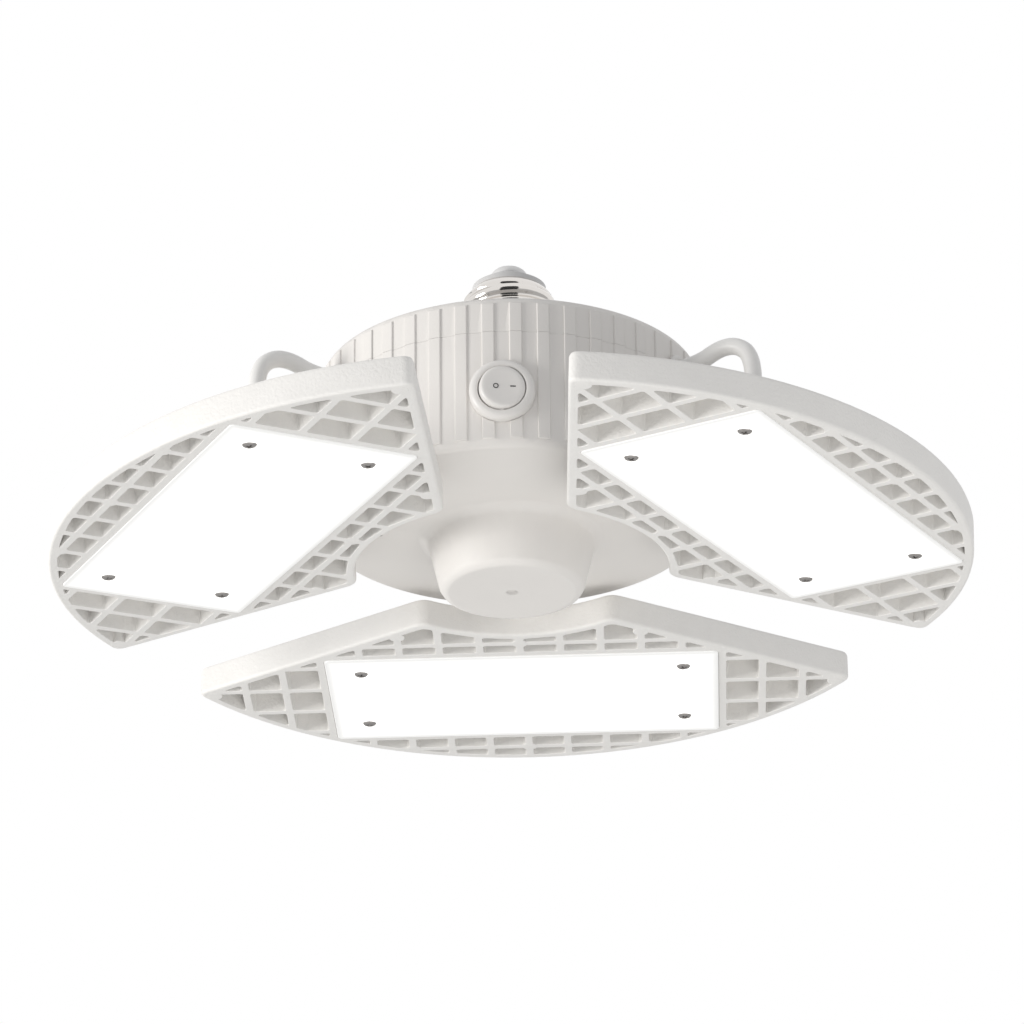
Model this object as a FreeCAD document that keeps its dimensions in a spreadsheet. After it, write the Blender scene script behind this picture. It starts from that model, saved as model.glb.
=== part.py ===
import FreeCAD, Part
import Sketcher
import math
import os
import re

# Deformable garage light: a screw-in lamp body with three tilting light panels.
# Frame: +Z up, origin on the shoulder of the screw shell, millimetres and degrees.
# The rocker switch faces -Y. "Drop" is a distance below the origin.
# Panel pieces are drawn about the hinge: X outwards, Y along the pin, Z up, panel level.

SIZES = {
    # screw base
    "shell_radius": 13.1, "shell_height": 21.0, "shell_wall": 0.4, "shell_mouth": 8.3,
    "shell_shoulder": 2.4, "insulator_rise": 2.6, "insulator_edge": 1.2,
    "insulator_tip_radius": 5.7, "contact_radius": 5.4, "contact_waist": 3.4,
    "contact_step": 2.1, "contact_rise": 3.4, "contact_bore": 2.1, "neck_height": 9.0,
    "neck_wall": 3.0, "collar_radius": 14.6,
    # lamp body
    "body_radius": 54.4, "wall": 2.5, "rim_drop": 10.2, "seam_drop": 21.2,
    "base_drop": 55.9, "floor_thickness": 3.0, "rim_round": 2.0, "seam_chamfer": 0.35,
    "cap_slope": 6.8, "cap_wall": 2.5, "spigot_depth": 2.5, "spigot_wall": 1.85,
    "rib_count": 45, "rib_width": 3.5, "rib_height": 0.5, "rib_top_gap": 2.1,
    "rib_base_gap": 2.2,
    # hub in the middle of the underside
    "hub_drop": 75.5, "hub_face_radius": 20.0, "hub_root_radius": 24.0,
    "hub_bore": 17.0, "underside_slope": 3.3, "hub_edge_round": 1.9, "hub_root_round": 2.6,
    "gate_radius": 1.8, "gate_depth": 0.4, "flats": "=1 / cos(15 deg)",
    # hinges
    "hinge_inset": 17.6, "hinge_radius": "=body_radius - hinge_inset", "hinge_drop": 58.7,
    "droop": 2.46, "pin_radius": 1.5, "running_gap": 0.05, "eye_radius": 2.9,
    "eye_width": 11.2, "washer_thickness": 0.5, "ear_thickness": 3.0,
    "pin_head_radius": 2.6, "pin_head_height": 1.6, "nut_height": 1.8, "swing_gap": 0.4, "face_gap": 0.05,
    # light panels
    "panel_thickness": 8.7, "back_plate": 2.0, "face_reach": 10.6, "lens_reach": 48.9,
    "tip_reach": 45.6, "outer_arc": 117.0, "side_angle": 32.2, "side_apex": 67.4,
    "inner_reach": 7.8, "edge_wall": 2.4, "tip_round": 2.8, "corner_round": 4.5,
    "back_bevel": 1.0, "lattice_width": 1.8, "lattice_pitch": 11.8,
    "cross_pitch": 14.8, "cross_shift": 0.5, "cross_inner": 35.4, "cross_outer": 36.9,
    "pad_radius": 2.3, "tip_pad_shift": 4.8, "tip_pad_spread": 92.2, "border": 2.1,
    # lens, led board and their screws
    "lens_length": 115.6, "lens_width": 54.9, "lens_thickness": 2.0, "lens_proud": 0.3,
    "lens_round": 1.6, "fit_gap": 0.15, "ledge": 2.0, "post_radius": 2.7,
    "screw_span_long": 95.0, "screw_span_short": 34.7, "screw_head_radius": 2.2,
    "screw_head_height": 1.3, "screw_sink": 0.8, "screw_radius": 1.25, "screw_length": 6.0,
    "board_thickness": 1.2, "board_margin": 1.0, "led_length": 3.5, "led_width": 2.8,
    "led_height": 0.7, "led_rows": 3, "led_columns": 8, "led_row_pitch": 14.0,
    "led_column_pitch": 11.6,
    # arm between hinge and panel
    "arm_thickness": 2.4, "arm_start": 8.0, "arm_end": 26.0, "arm_width": 19.0,
    "arm_round": 3.0, "arm_screw_near": 13.5, "arm_screw_far": 21.4,
    "arm_screw_spread": 6.5, "arm_screw_depth": 5.0, "arm_screw_spare": 0.5,
    "arm_head_radius": 2.5, "arm_head_depth": 1.25,
    # leads and what they pass through
    "lead_radius": 2.4, "grommet_radius": 4.3, "grommet_flange": 1.6,
    "grommet_neck": 3.6, "gland_flange_radius": 5.6, "gland_flange": 1.2,
    "gland_radius": 4.0, "gland_height": 6.0,
    "gland_reach": 42.3, "wire_hole": 1.6, "lead_gap": 0.1,
    # switch
    "switch_drop": 39.7, "bezel_radius": 9.1, "bezel_sink": 0.8, "bezel_proud": 2.8,
    "bezel_seat": "=body_radius - bezel_sink", "bezel_front": "=body_radius + bezel_proud",
    "bezel_round": 1.5, "barrel_radius": 7.8, "barrel_depth": 10.0, "rocker_radius": 6.5,
    "rocker_gap": 0.15, "rocker_pivot_depth": 1.2, "rocker_well": 3.9, "rocker_lip": 1.2,
    "rocker_face_radius": 4.9, "rocker_foot": 2.6, "rocker_tilt": 8.0,
    "rocker_edge_radius": 5.9, "rocker_edge_drop": 0.4, "trunnion_radius": 0.8,
    "trunnion_length": 1.1,
    "blade_width": 4.8, "blade_thickness": 0.8, "blade_length": 8.0, "blade_spread": 3.5,
    # driver inside the body
    "driver_inset": 16.0, "driver_thickness": 1.6, "driver_drop": 46.0,
    "standoff_radius": 3.0, "standoff_inset": 20.9, "boss_radius": 4.0,
    "standoff_circle": "=body_radius - standoff_inset",
    "core_length": 22.0, "core_width": 20.0, "core_height": 16.0, "core_across": -10.0,
    "core_along": 8.0, "can_radius": 6.0, "can_height": 18.0, "can_across": 14.0,
    "can_along": 12.0, "small_can_radius": 4.0, "small_can_height": 12.0,
    "small_can_across": 25.0, "small_can_along": 2.0, "coil_radius": 6.0,
    "coil_half": 2.8, "coil_across": 12.0, "coil_along": -13.0, "fin_thickness": 2.0,
    "fin_width": 26.0, "fin_height": 18.0, "fin_across": -29.0, "fin_foot": 8.0,
    # screws that hold the cap on
    "cap_screw_radius": 1.5, "cap_screw_length": 20.0, "cap_screw_head": 2.9,
    "cap_screw_head_height": 2.0, "cap_screw_inset": 8.9,
    "cap_screw_circle": "=body_radius - cap_screw_inset", "pilot_spare": 1.0,
}

PANEL_AZIMUTHS = (90.0, 210.0, 330.0)
PANEL_NAMES = ("far", "left", "right")
POST_AZIMUTHS = (45.0, 135.0, 225.0, 315.0)

# Sides of the small round pieces and of the holes they go in, which match side for side.
PEG = 8
DISC = 12

# Where a quarter round's middle lies on the way in from its corner, 1 - cos 45 degrees.
BAND_MIDDLE = 0.293

# half widths of the hinge, outwards along the pin
EAR_INSIDE = "eye_width / 2 + washer_thickness + 2 * face_gap"
EAR_OUTSIDE = EAR_INSIDE + " + ear_thickness"
PIN_REACH = EAR_OUTSIDE + " + nut_height + 2 * swing_gap"

# levels in a panel, and the hollow's depth
LATTICE_DEPTH = "panel_thickness - back_plate"
PANEL_FACE = "-face_reach"
PANEL_BACK = "-face_reach + panel_thickness"

# Route of a lead in its panel's mid-plane, as (beyond the wall, below the seam):
# out of the wall at the seam, over a tight arch and down into the panel's back.
LEAD_ROUTE = ((-2.0, 0.0), (7.6, 0.0), (14.9, -3.1), (20.7, -2.3), (24.9, 2.3),
              (25.25, 14.3), (25.15, 26.8), (24.62, 40.2))

doc = FreeCAD.newDocument("garage_light")
sheet = doc.addObject("Spreadsheet::Sheet", "sizes")
for row, (alias, number) in enumerate(SIZES.items(), start=1):
    sheet.set("A%d" % row, alias)
    sheet.set("B%d" % row, str(number))
    sheet.setAlias("B%d" % row, alias)
doc.recompute()

exports = []


# ---------------------------------------------------------------- helpers

def linked(text):
    """Write an expression of size names as one of spreadsheet cells."""
    def cell(match):
        word = match.group(0)
        return "sizes." + word if word in SIZES else word
    return re.sub(r"[a-z][a-z_]+", cell, str(text))


def value(text):
    """The number that an expression of size names gives now."""
    return float(sheet.evalExpression(linked(text)))


def bind(obj, **expressions):
    for prop, text in expressions.items():
        obj.setExpression(prop, linked(text))


def locate(obj, x="0", y="0", z="0", turn=None):
    """Put an object at bound coordinates, with an optional fixed turn (axis, angle)."""
    if turn is not None:
        obj.Placement.Rotation = FreeCAD.Rotation(FreeCAD.Vector(*turn[0]), turn[1])
    for letter, text in zip("xyz", (x, y, z)):
        obj.setExpression("Placement.Base." + letter, linked(text))
    return obj


ALONG_Y = ((1, 0, 0), -90)     # a cylinder's own axis turned to +Y
ALONG_X = ((0, 1, 0), 90)      # and to +X
FACING = FreeCAD.Rotation(FreeCAD.Vector(1, 0, 0), 90)     # +Z turned to the switch's front


def cylinder(name, radius, height, x="0", y="0", z="0", turn=None):
    obj = doc.addObject("Part::Cylinder", name)
    bind(obj, Radius=radius, Height=height)
    return locate(obj, x, y, z, turn)


def bar(name, sides, radius, height, x="0", y="0", z="0", turn=None):
    """A regular prism; radius reaches its corners."""
    obj = doc.addObject("Part::Prism", name)
    obj.Polygon = sides
    bind(obj, Circumradius=radius, Height=height)
    return locate(obj, x, y, z, turn)


def block(name, length, width, height, x="0", y="0", z="0"):
    """A box whose X and Y are centred on the given point and that stands on z."""
    obj = doc.addObject("Part::Box", name)
    bind(obj, Length=length, Width=width, Height=height)
    return locate(obj, "%s - (%s) / 2" % (x, length), "%s - (%s) / 2" % (y, width), z)


def fused(name, shapes):
    obj = doc.addObject("Part::MultiFuse", name)
    obj.Shapes = shapes
    obj.Refine = True
    return obj


def cut(name, base, tools):
    obj = doc.addObject("Part::Cut", name)
    obj.Base = base
    obj.Tool = tools[0] if len(tools) == 1 else fused(name + "_tools", tools)
    obj.Refine = True
    return obj


def common(name, shapes):
    obj = doc.addObject("Part::MultiCommon", name)
    obj.Shapes = shapes
    return obj


def group(name, shapes):
    obj = doc.addObject("Part::Compound", name)
    obj.Links = shapes
    return obj


def rounded(name, base, radius, wanted):
    """Round the edges of base for which wanted(edge) holds."""
    doc.recompute()
    obj = doc.addObject("Part::Fillet", name)
    obj.Base = base
    size = value(radius)
    obj.Edges = [(index, size, size) for index, edge in enumerate(base.Shape.Edges, start=1)
                 if wanted(edge)]
    return obj


def eased(name, base, size, wanted):
    """Cut the corner off the edges of base for which wanted(edge) holds."""
    doc.recompute()
    obj = doc.addObject("Part::Chamfer", name)
    obj.Base = base
    step = value(size)
    obj.Edges = [(index, step, step) for index, edge in enumerate(base.Shape.Edges, start=1)
                 if wanted(edge)]
    return obj


def upright(edge):
    """True for a straight edge along Z."""
    ends = [vertex.Point for vertex in edge.Vertexes]
    if len(ends) < 2 or edge.Curve.TypeId != "Part::GeomLine":
        return False
    return abs(ends[0].x - ends[1].x) < 1e-6 and abs(ends[0].y - ends[1].y) < 1e-6


def edge_at_height(height):
    level = value(height)
    return lambda edge: (abs(edge.BoundBox.ZMin - level) < 1e-6
                         and abs(edge.BoundBox.ZMax - level) < 1e-6)


def keep(obj, label):
    """Name an object as a finished piece of the lamp."""
    obj.Label = label
    exports.append(obj)
    return obj


def origin_plane(body, role):
    return next(item for item in body.Origin.OriginFeatures if item.Role == role)


def outline(body, name, role, corners):
    """A closed sketch through corners, each (across, up) as size expressions.

    A corner with two more entries, a radius and a side (+1 left, -1 right of the
    way there), is reached along an arc. Every corner is held by bound distances.
    """
    sketch = body.newObject("Sketcher::SketchObject", name)
    sketch.AttachmentSupport = (origin_plane(body, role), "")
    sketch.MapMode = "FlatFace"
    places = [(value(c[0]), value(c[1])) for c in corners]
    ends = []
    for index, corner in enumerate(corners):
        here = FreeCAD.Vector(*places[index - 1], 0)
        there = FreeCAD.Vector(*places[index], 0)
        if len(corner) == 2:
            edge = sketch.addGeometry(Part.LineSegment(here, there), False)
            ends.append(((edge, 1), (edge, 2)))
            continue
        radius, side = value(corner[2]), corner[3]
        chord = there.sub(here)
        left = FreeCAD.Vector(-chord.y, chord.x, 0).normalize()
        rise = math.sqrt(radius ** 2 - (chord.Length / 2) ** 2)
        centre = here.add(chord.multiply(0.5)).add(left.multiply(side * rise))
        circle = Part.Circle(centre, FreeCAD.Vector(0, 0, 1), radius)
        first, last = (here, there) if side > 0 else (there, here)
        angles = [math.atan2(p.y - centre.y, p.x - centre.x) for p in (first, last)]
        edge = sketch.addGeometry(Part.ArcOfCircle(circle, *angles), False)
        ends.append(((edge, 1), (edge, 2)) if side > 0 else ((edge, 2), (edge, 1)))
    for index, corner in enumerate(corners):
        sketch.addConstraint(Sketcher.Constraint("Coincident", *ends[index - 1][1],
                                                 *ends[index][0]))
        for kind, text, number in zip(("DistanceX", "DistanceY"), corner, places[index]):
            held = sketch.addConstraint(Sketcher.Constraint(kind, -1, 1, *ends[index][1],
                                                            number))
            sketch.setExpression("Constraints[%d]" % held, linked(text))
        if len(corner) == 4:
            held = sketch.addConstraint(Sketcher.Constraint("Radius", ends[index][0][0],
                                                            value(corner[2])))
            sketch.setExpression("Constraints[%d]" % held, linked(corner[2]))
    return sketch


def turned(name, corners):
    """A body of revolution about Z from a half section of (radius, height) corners."""
    body = doc.addObject("PartDesign::Body", name)
    sketch = outline(body, name + "_section", "XZ_Plane", corners)
    turn = body.newObject("PartDesign::Revolution", name + "_turn")
    turn.Profile = sketch
    turn.ReferenceAxis = (sketch, ["V_Axis"])
    turn.Angle = 360.0
    doc.recompute()
    return body


def bevel(across, up, size, ways):
    """Corners of a half section that ease its corner (across, up) in two flat bands.

    ways gives the directions from the corner of the first and the last point, each as
    two factors of size.
    """
    first, last = ways
    middle = [BAND_MIDDLE * (one + other) for one, other in zip(first, last)]
    return [("%s + (%g) * %s" % (across, way[0], size), "%s + (%g) * %s" % (up, way[1], size))
            for way in (first, middle, last)]


def wall_ribs(body, name, low, high):
    """Raised upright ribs round the wall, from low to high, a gap facing -Y."""
    sketch = body.newObject("Sketcher::SketchObject", name + "_section")
    sketch.AttachmentSupport = (origin_plane(body, "XY_Plane"), "")
    sketch.MapMode = "FlatFace"
    sketch.setExpression("AttachmentOffset.Base.z", linked(low))
    sketch.AttachmentOffset.Rotation = FreeCAD.Rotation(
        FreeCAD.Vector(0, 0, 1), 180.0 / value("rib_count") - 90.0)
    corners = [("body_radius - wall / 2", "-rib_width / 2"),
               ("body_radius + rib_height", "-rib_width / 2"),
               ("body_radius + rib_height", "rib_width / 2"),
               ("body_radius - wall / 2", "rib_width / 2")]
    spots = [FreeCAD.Vector(value(x), value(y), 0) for x, y in corners]
    for index in range(len(spots)):
        sketch.addGeometry(Part.LineSegment(spots[index - 1], spots[index]), False)
    for index, (x, y) in enumerate(corners):
        following = (index + 1) % len(corners)
        sketch.addConstraint(Sketcher.Constraint("Coincident", index, 2, following, 1))
        for kind, text in (("DistanceX", x), ("DistanceY", y)):
            held = sketch.addConstraint(Sketcher.Constraint(kind, -1, 1, index, 2,
                                                            value(text)))
            sketch.setExpression("Constraints[%d]" % held, linked(text))
    pad = body.newObject("PartDesign::Pad", name + "_pad")
    pad.Profile = sketch
    bind(pad, Length="(%s) - (%s)" % (high, low))
    doc.recompute()
    pattern = body.newObject("PartDesign::PolarPattern", name + "_ring")
    pattern.Originals = [pad]
    pattern.Axis = (origin_plane(body, "Z_Axis"), [""])
    pattern.Angle = 360.0
    bind(pattern, Occurrences="rib_count")
    body.Tip = pattern
    doc.recompute()


# ---------------------------------------------------------------- screw base

def screw_base():
    down_in = ((0, -1), (-1, 0))
    shell = turned("screw_shell",
                   [("shell_radius", "0")]
                   + bevel("shell_radius", "shell_height", "shell_shoulder", down_in)
                   + [("shell_mouth", "shell_height"),
                      ("shell_mouth", "shell_height - shell_wall"),
                      ("shell_radius - shell_shoulder", "shell_height - shell_wall"),
                      ("shell_radius - shell_wall", "shell_height - shell_shoulder"),
                      ("shell_radius - shell_wall", "0")])
    keep(shell, "screw_shell")
    top = "shell_height - shell_wall - fit_gap"
    insulator = turned("base_insulator", [
        ("contact_bore + fit_gap", "neck_height"),
        ("shell_radius - shell_shoulder", "neck_height"),
        ("shell_radius - shell_shoulder", top),
        ("shell_mouth - fit_gap", top),
        ("shell_mouth - fit_gap", "shell_height + insulator_edge"),
        ("insulator_tip_radius", "shell_height + insulator_rise"),
        ("contact_bore + fit_gap", "shell_height + insulator_rise"),
    ])
    keep(insulator, "base_insulator")
    contact = turned("centre_contact", [
        ("0", "shell_height"),
        ("contact_bore", "shell_height"),
        ("contact_bore", "shell_height + insulator_rise"),
        ("contact_radius", "shell_height + insulator_rise"),
        ("contact_waist", "shell_height + insulator_rise + contact_step"),
        ("0", "shell_height + insulator_rise + contact_rise"),
    ])
    keep(contact, "centre_contact")


# ---------------------------------------------------------------- lamp body

def grommet_holes(prefix):
    """Cylinders through the wall at the seam, one above each panel."""
    holes = []
    for azimuth, place in zip(PANEL_AZIMUTHS, PANEL_NAMES):
        hole = bar("%s_grommet_hole_%s" % (prefix, place), DISC, "grommet_neck + fit_gap",
                   "3 * wall", turn=ALONG_X)
        spin(hole, azimuth, "body_radius - 2 * wall", "0", "-seam_drop")
        holes.append(hole)
    return holes


def spin(obj, azimuth, x, y, z):
    """Bind an object to a place drawn at azimuth 0 and turned about Z."""
    turn = FreeCAD.Rotation(FreeCAD.Vector(0, 0, 1), azimuth)
    obj.Placement.Rotation = turn.multiply(obj.Placement.Rotation)
    rule = {"x": "(%s) * cos(%g deg) - (%s) * sin(%g deg)" % (x, azimuth, y, azimuth),
            "y": "(%s) * sin(%g deg) + (%s) * cos(%g deg)" % (x, azimuth, y, azimuth),
            "z": z}
    for letter, text in rule.items():
        obj.setExpression("Placement.Base." + letter, linked(text))
    return obj


def top_cap():
    bore = "shell_radius - shell_wall - fit_gap - neck_wall"
    spigot = "body_radius - wall - fit_gap"
    ceiling = "-rim_drop - cap_wall"
    slope = value("cap_slope") / value("body_radius - collar_radius")
    cap = turned("cap_turned", [
        (spigot, "-seam_drop - spigot_depth"),
        (spigot, "-seam_drop"),
        ("body_radius - seam_chamfer", "-seam_drop"),
        ("body_radius", "-seam_drop + seam_chamfer"),
    ] + bevel("body_radius", "-rim_drop", "rim_round", ((0, -1), (-1, slope))) + [
        ("collar_radius", "-rim_drop + cap_slope"),
        ("collar_radius", "0"),
        ("shell_radius - shell_wall - fit_gap", "0"),
        ("shell_radius - shell_wall - fit_gap", "neck_height"),
        (bore, "neck_height"),
        (bore, ceiling),
        (spigot + " - spigot_wall", ceiling),
        (spigot + " - spigot_wall", "-seam_drop - spigot_depth"),
    ])
    wall_ribs(cap, "cap_ribs", "-seam_drop + seam_chamfer", "-rim_drop - rib_top_gap")
    posts, holes = [], grommet_holes("cap")
    for azimuth in POST_AZIMUTHS:
        post = bar("cap_post", PEG, "boss_radius", "seam_drop - rim_drop - cap_wall / 2")
        posts.append(spin(post, azimuth, "cap_screw_circle", "0", "-seam_drop"))
        hole = bar("cap_screw_hole", PEG, "cap_screw_radius + fit_gap", "2 * seam_drop")
        holes.append(spin(hole, azimuth, "cap_screw_circle", "0", "-2 * seam_drop"))
        seat = bar("cap_screw_seat", DISC, "cap_screw_head + fit_gap", "seam_drop")
        holes.append(spin(seat, azimuth, "cap_screw_circle", "0", "-rim_drop"))
    keep(cut("top_cap", fused("cap_with_posts", [cap] + posts), holes), "top_cap")
    screws = []
    for azimuth in POST_AZIMUTHS:
        head = bar("cap_screw_head_disc", DISC, "cap_screw_head", "cap_screw_head_height")
        shank = bar("cap_screw_shank", PEG, "cap_screw_radius", "cap_screw_length")
        spin(head, azimuth, "cap_screw_circle", "0", "-rim_drop")
        spin(shank, azimuth, "cap_screw_circle", "0", "-rim_drop - cap_screw_length")
        screws.append(fused("cap_screw", [shank, head]))
    keep(group("cap_screws", screws), "cap_screws")


def housing():
    slope = value("underside_slope") / value("body_radius - hub_root_radius")
    lean = value("hub_root_radius - hub_face_radius") / value(
        "hub_drop - base_drop - underside_slope")
    shell = turned("housing_turned", [("0", "-hub_drop")]
                   + bevel("hub_face_radius", "-hub_drop", "hub_edge_round",
                           ((-1, 0), (lean, 1)))
                   + bevel("hub_root_radius", "-base_drop - underside_slope",
                           "hub_root_round", ((-lean, -1), (1, slope)))
                   + bevel("body_radius", "-base_drop", "rim_round", ((-1, -slope), (0, 1)))
                   + [("body_radius", "-seam_drop - seam_chamfer"),
                      ("body_radius - seam_chamfer", "-seam_drop"),
                      ("body_radius - wall", "-seam_drop"),
                      ("body_radius - wall", "-base_drop + floor_thickness"),
                      ("hub_bore", "-base_drop + floor_thickness"),
                      ("hub_bore", "-hub_drop + wall"),
                      ("0", "-hub_drop + wall")])
    wall_ribs(shell, "housing_ribs", "-base_drop + rib_base_gap", "-seam_drop - seam_chamfer")

    added, pockets, holes = [], [], grommet_holes("housing")
    for azimuth in PANEL_AZIMUTHS:
        pocket = bar("hinge_pocket", DISC, "(eye_radius + swing_gap) * flats",
                     "2 * (%s)" % PIN_REACH, turn=ALONG_Y)
        pockets.append(spin(pocket, azimuth, "hinge_radius", "-(%s)" % PIN_REACH,
                            "-hinge_drop"))
        for start in ("-(%s) - ear_thickness" % EAR_INSIDE, EAR_INSIDE):
            ear = bar("hinge_ear", DISC, "eye_radius", "ear_thickness", turn=ALONG_Y)
            added.append(spin(ear, azimuth, "hinge_radius", start, "-hinge_drop"))
            root = doc.addObject("Part::Box", "hinge_ear_root")
            bind(root, Length="2 * eye_radius", Width="ear_thickness",
                 Height="hinge_drop - base_drop + floor_thickness / 2")
            added.append(spin(root, azimuth, "hinge_radius - eye_radius", start,
                              "-hinge_drop"))
        hole = bar("hinge_pin_hole", DISC, "(pin_radius + running_gap) * flats",
                   "2 * (%s)" % PIN_REACH, turn=ALONG_Y)
        holes.append(spin(hole, azimuth, "hinge_radius", "-(%s)" % PIN_REACH, "-hinge_drop"))
    floor_middle = "-base_drop + floor_thickness / 2"
    for azimuth in POST_AZIMUTHS:
        boss = bar("cap_screw_boss", PEG, "boss_radius", "-seam_drop - (%s)" % floor_middle)
        added.append(spin(boss, azimuth, "cap_screw_circle", "0", floor_middle))
        pilot = bar("cap_screw_pilot", PEG, "cap_screw_radius + running_gap",
                    "cap_screw_length - seam_drop + rim_drop + pilot_spare")
        holes.append(spin(pilot, azimuth, "cap_screw_circle", "0",
                          "-rim_drop - cap_screw_length - pilot_spare"))
        standoff = bar("board_standoff", PEG, "standoff_radius",
                       "-driver_drop - (%s)" % floor_middle)
        added.append(spin(standoff, azimuth, "standoff_circle", "0", floor_middle))
        pilot = bar("board_screw_pilot", PEG, "screw_radius + running_gap", "screw_length")
        holes.append(spin(pilot, azimuth, "standoff_circle", "0",
                          "-driver_drop - screw_length"))
    holes.append(cylinder("bezel_seat_cut", "bezel_radius + face_gap",
                          "body_radius", "0", "-bezel_seat - body_radius",
                          "-switch_drop", ALONG_Y))
    holes.append(bar("barrel_hole", DISC, "(barrel_radius + fit_gap) * flats", "4 * wall",
                     "0", "-bezel_seat - wall", "-switch_drop", ALONG_Y))
    holes.append(bar("gate_mark", DISC, "gate_radius", "gate_depth", "0", "0", "-hub_drop"))
    pocketed = cut("housing_pocketed", shell, pockets)
    keep(cut("housing", fused("housing_with_ears", [pocketed] + added), holes), "housing")


def hinge_hardware(azimuth, place):
    """Pin with its head, nut and the two friction washers of one hinge."""
    def on_axis(obj, start):
        return spin(obj, azimuth, "hinge_radius", start, "-hinge_drop")

    head = bar("pin_head", DISC, "pin_head_radius", "pin_head_height", turn=ALONG_Y)
    on_axis(head, "-(%s) - pin_head_height" % EAR_OUTSIDE)
    shank = cylinder("pin_shank", "pin_radius", "2 * (%s) + nut_height" % EAR_OUTSIDE,
                     turn=ALONG_Y)
    on_axis(shank, "-(%s)" % EAR_OUTSIDE)
    keep(fused("hinge_pin_" + place, [head, shank]), "hinge_pin_" + place)

    hexagon = bar("nut_hexagon", 6, "pin_head_radius + face_gap", "nut_height",
                  turn=ALONG_Y)
    on_axis(hexagon, EAR_OUTSIDE)
    bore = bar("nut_bore", DISC, "(pin_radius + running_gap) * flats", "3 * nut_height",
               turn=ALONG_Y)
    on_axis(bore, EAR_OUTSIDE + " - nut_height")
    keep(cut("hinge_nut_" + place, hexagon, [bore]), "hinge_nut_" + place)

    washers = []
    for start in ("-eye_width / 2 - face_gap - washer_thickness", "eye_width / 2 + face_gap"):
        disc = bar("washer_disc", DISC, "eye_radius - face_gap", "washer_thickness",
                   turn=ALONG_Y)
        on_axis(disc, start)
        hole = bar("washer_hole", DISC, "(pin_radius + running_gap) * flats",
                   "3 * washer_thickness", turn=ALONG_Y)
        on_axis(hole, start + " - washer_thickness")
        washers.append(cut("washer", disc, [hole]))
    keep(group("hinge_washers_" + place, washers), "hinge_washers_" + place)


# ---------------------------------------------------------------- light panels

def panel_placement(azimuth):
    """From panel coordinates to the lamp: drooped about the hinge, then turned."""
    turn = FreeCAD.Rotation(FreeCAD.Vector(0, 0, 1), azimuth)
    droop = FreeCAD.Rotation(FreeCAD.Vector(0, 1, 0), value("droop"))
    hinge = FreeCAD.Vector(value("hinge_radius"), 0, -value("hinge_drop"))
    return FreeCAD.Placement(turn.multVec(hinge), turn.multiply(droop))


def sector(name, inset, low, height):
    """The panel's outline, drawn in by inset: an outer arc, two sides, an inner arc."""
    disc = cylinder(name + "_disc", "outer_arc - (%s)" % inset, height,
                    "lens_reach + tip_reach - outer_arc", "0", low)
    body = doc.addObject("PartDesign::Body", name + "_wedge")
    apex = "lens_reach - side_apex + (%s) / cos(side_angle * 1 deg)" % inset
    far = "lens_reach + tip_reach"
    spread = "(%s - (%s)) / tan(side_angle * 1 deg)" % (far, apex)
    sketch = outline(body, name + "_sides", "XY_Plane",
                     [(apex, "0"), (far, "-(%s)" % spread), (far, spread)])
    sketch.setExpression("AttachmentOffset.Base.z", linked(low))
    pad = body.newObject("PartDesign::Pad", name + "_pad")
    pad.Profile = sketch
    bind(pad, Length=height)
    scoop = cylinder(name + "_scoop", "hinge_radius + inner_reach + (%s)" % inset,
                     "3 * (%s)" % height, "-hinge_radius", "0", "%s - (%s)" % (low, height))
    return cut(name, common(name + "_whole", [disc, body]), [scoop])


def rib_block(length, width, x, y):
    return block("lattice_rib", length, width, LATTICE_DEPTH, x, y, PANEL_FACE)


def lattice():
    """Ribs, pads and the border round the lens, which stand in the panel's hollow."""
    long_rib = "3 * tip_reach"
    solids = [block("lens_border", "lens_width + 2 * border", "lens_length + 2 * border",
                    LATTICE_DEPTH, "lens_reach", "0", PANEL_FACE)]
    for step in range(-7, 8):
        if abs(step) == 5:
            continue
        solids.append(rib_block(long_rib, "lattice_width", "lens_reach",
                                "%d * lattice_pitch" % step))
    solids.append(rib_block("lattice_width", "lens_length", "lens_reach - cross_inner", "0"))
    solids.append(rib_block("lattice_width", "lens_length", "lens_reach + cross_outer", "0"))
    for side in (-1, 1):
        for step in (-1.5, -0.5, 0.5, 1.5):
            solids.append(rib_block("lattice_width", "lens_length",
                                    "lens_reach + cross_shift + %g * cross_pitch" % step,
                                    "%d * (lens_length + border)" % side))
    pads = [("lens_reach - cross_inner", "0"), ("lens_reach + cross_outer", "0")]
    for side in (-1, 1):
        pads.append(("lens_reach - cross_inner - 0.5 * lattice_pitch",
                     "%d * 3 * lattice_pitch" % side))
        pads.append(("lens_reach + cross_outer", "%d * 3 * lattice_pitch" % side))
        pads.append(("lens_reach - tip_pad_shift", "%d * tip_pad_spread" % side))
    for x, y in pads:
        solids.append(bar("lattice_pad", PEG, "pad_radius", LATTICE_DEPTH, x, y, PANEL_FACE))
    return solids


def lens_screw_spots():
    return [("lens_reach + %g * screw_span_short" % x, "%g * screw_span_long" % y)
            for x in (-0.5, 0.5) for y in (-0.5, 0.5)]


def arm_screw_spots():
    return [("arm_screw_near", "0"), ("arm_screw_far", "-arm_screw_spread"),
            ("arm_screw_far", "arm_screw_spread")]


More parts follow.
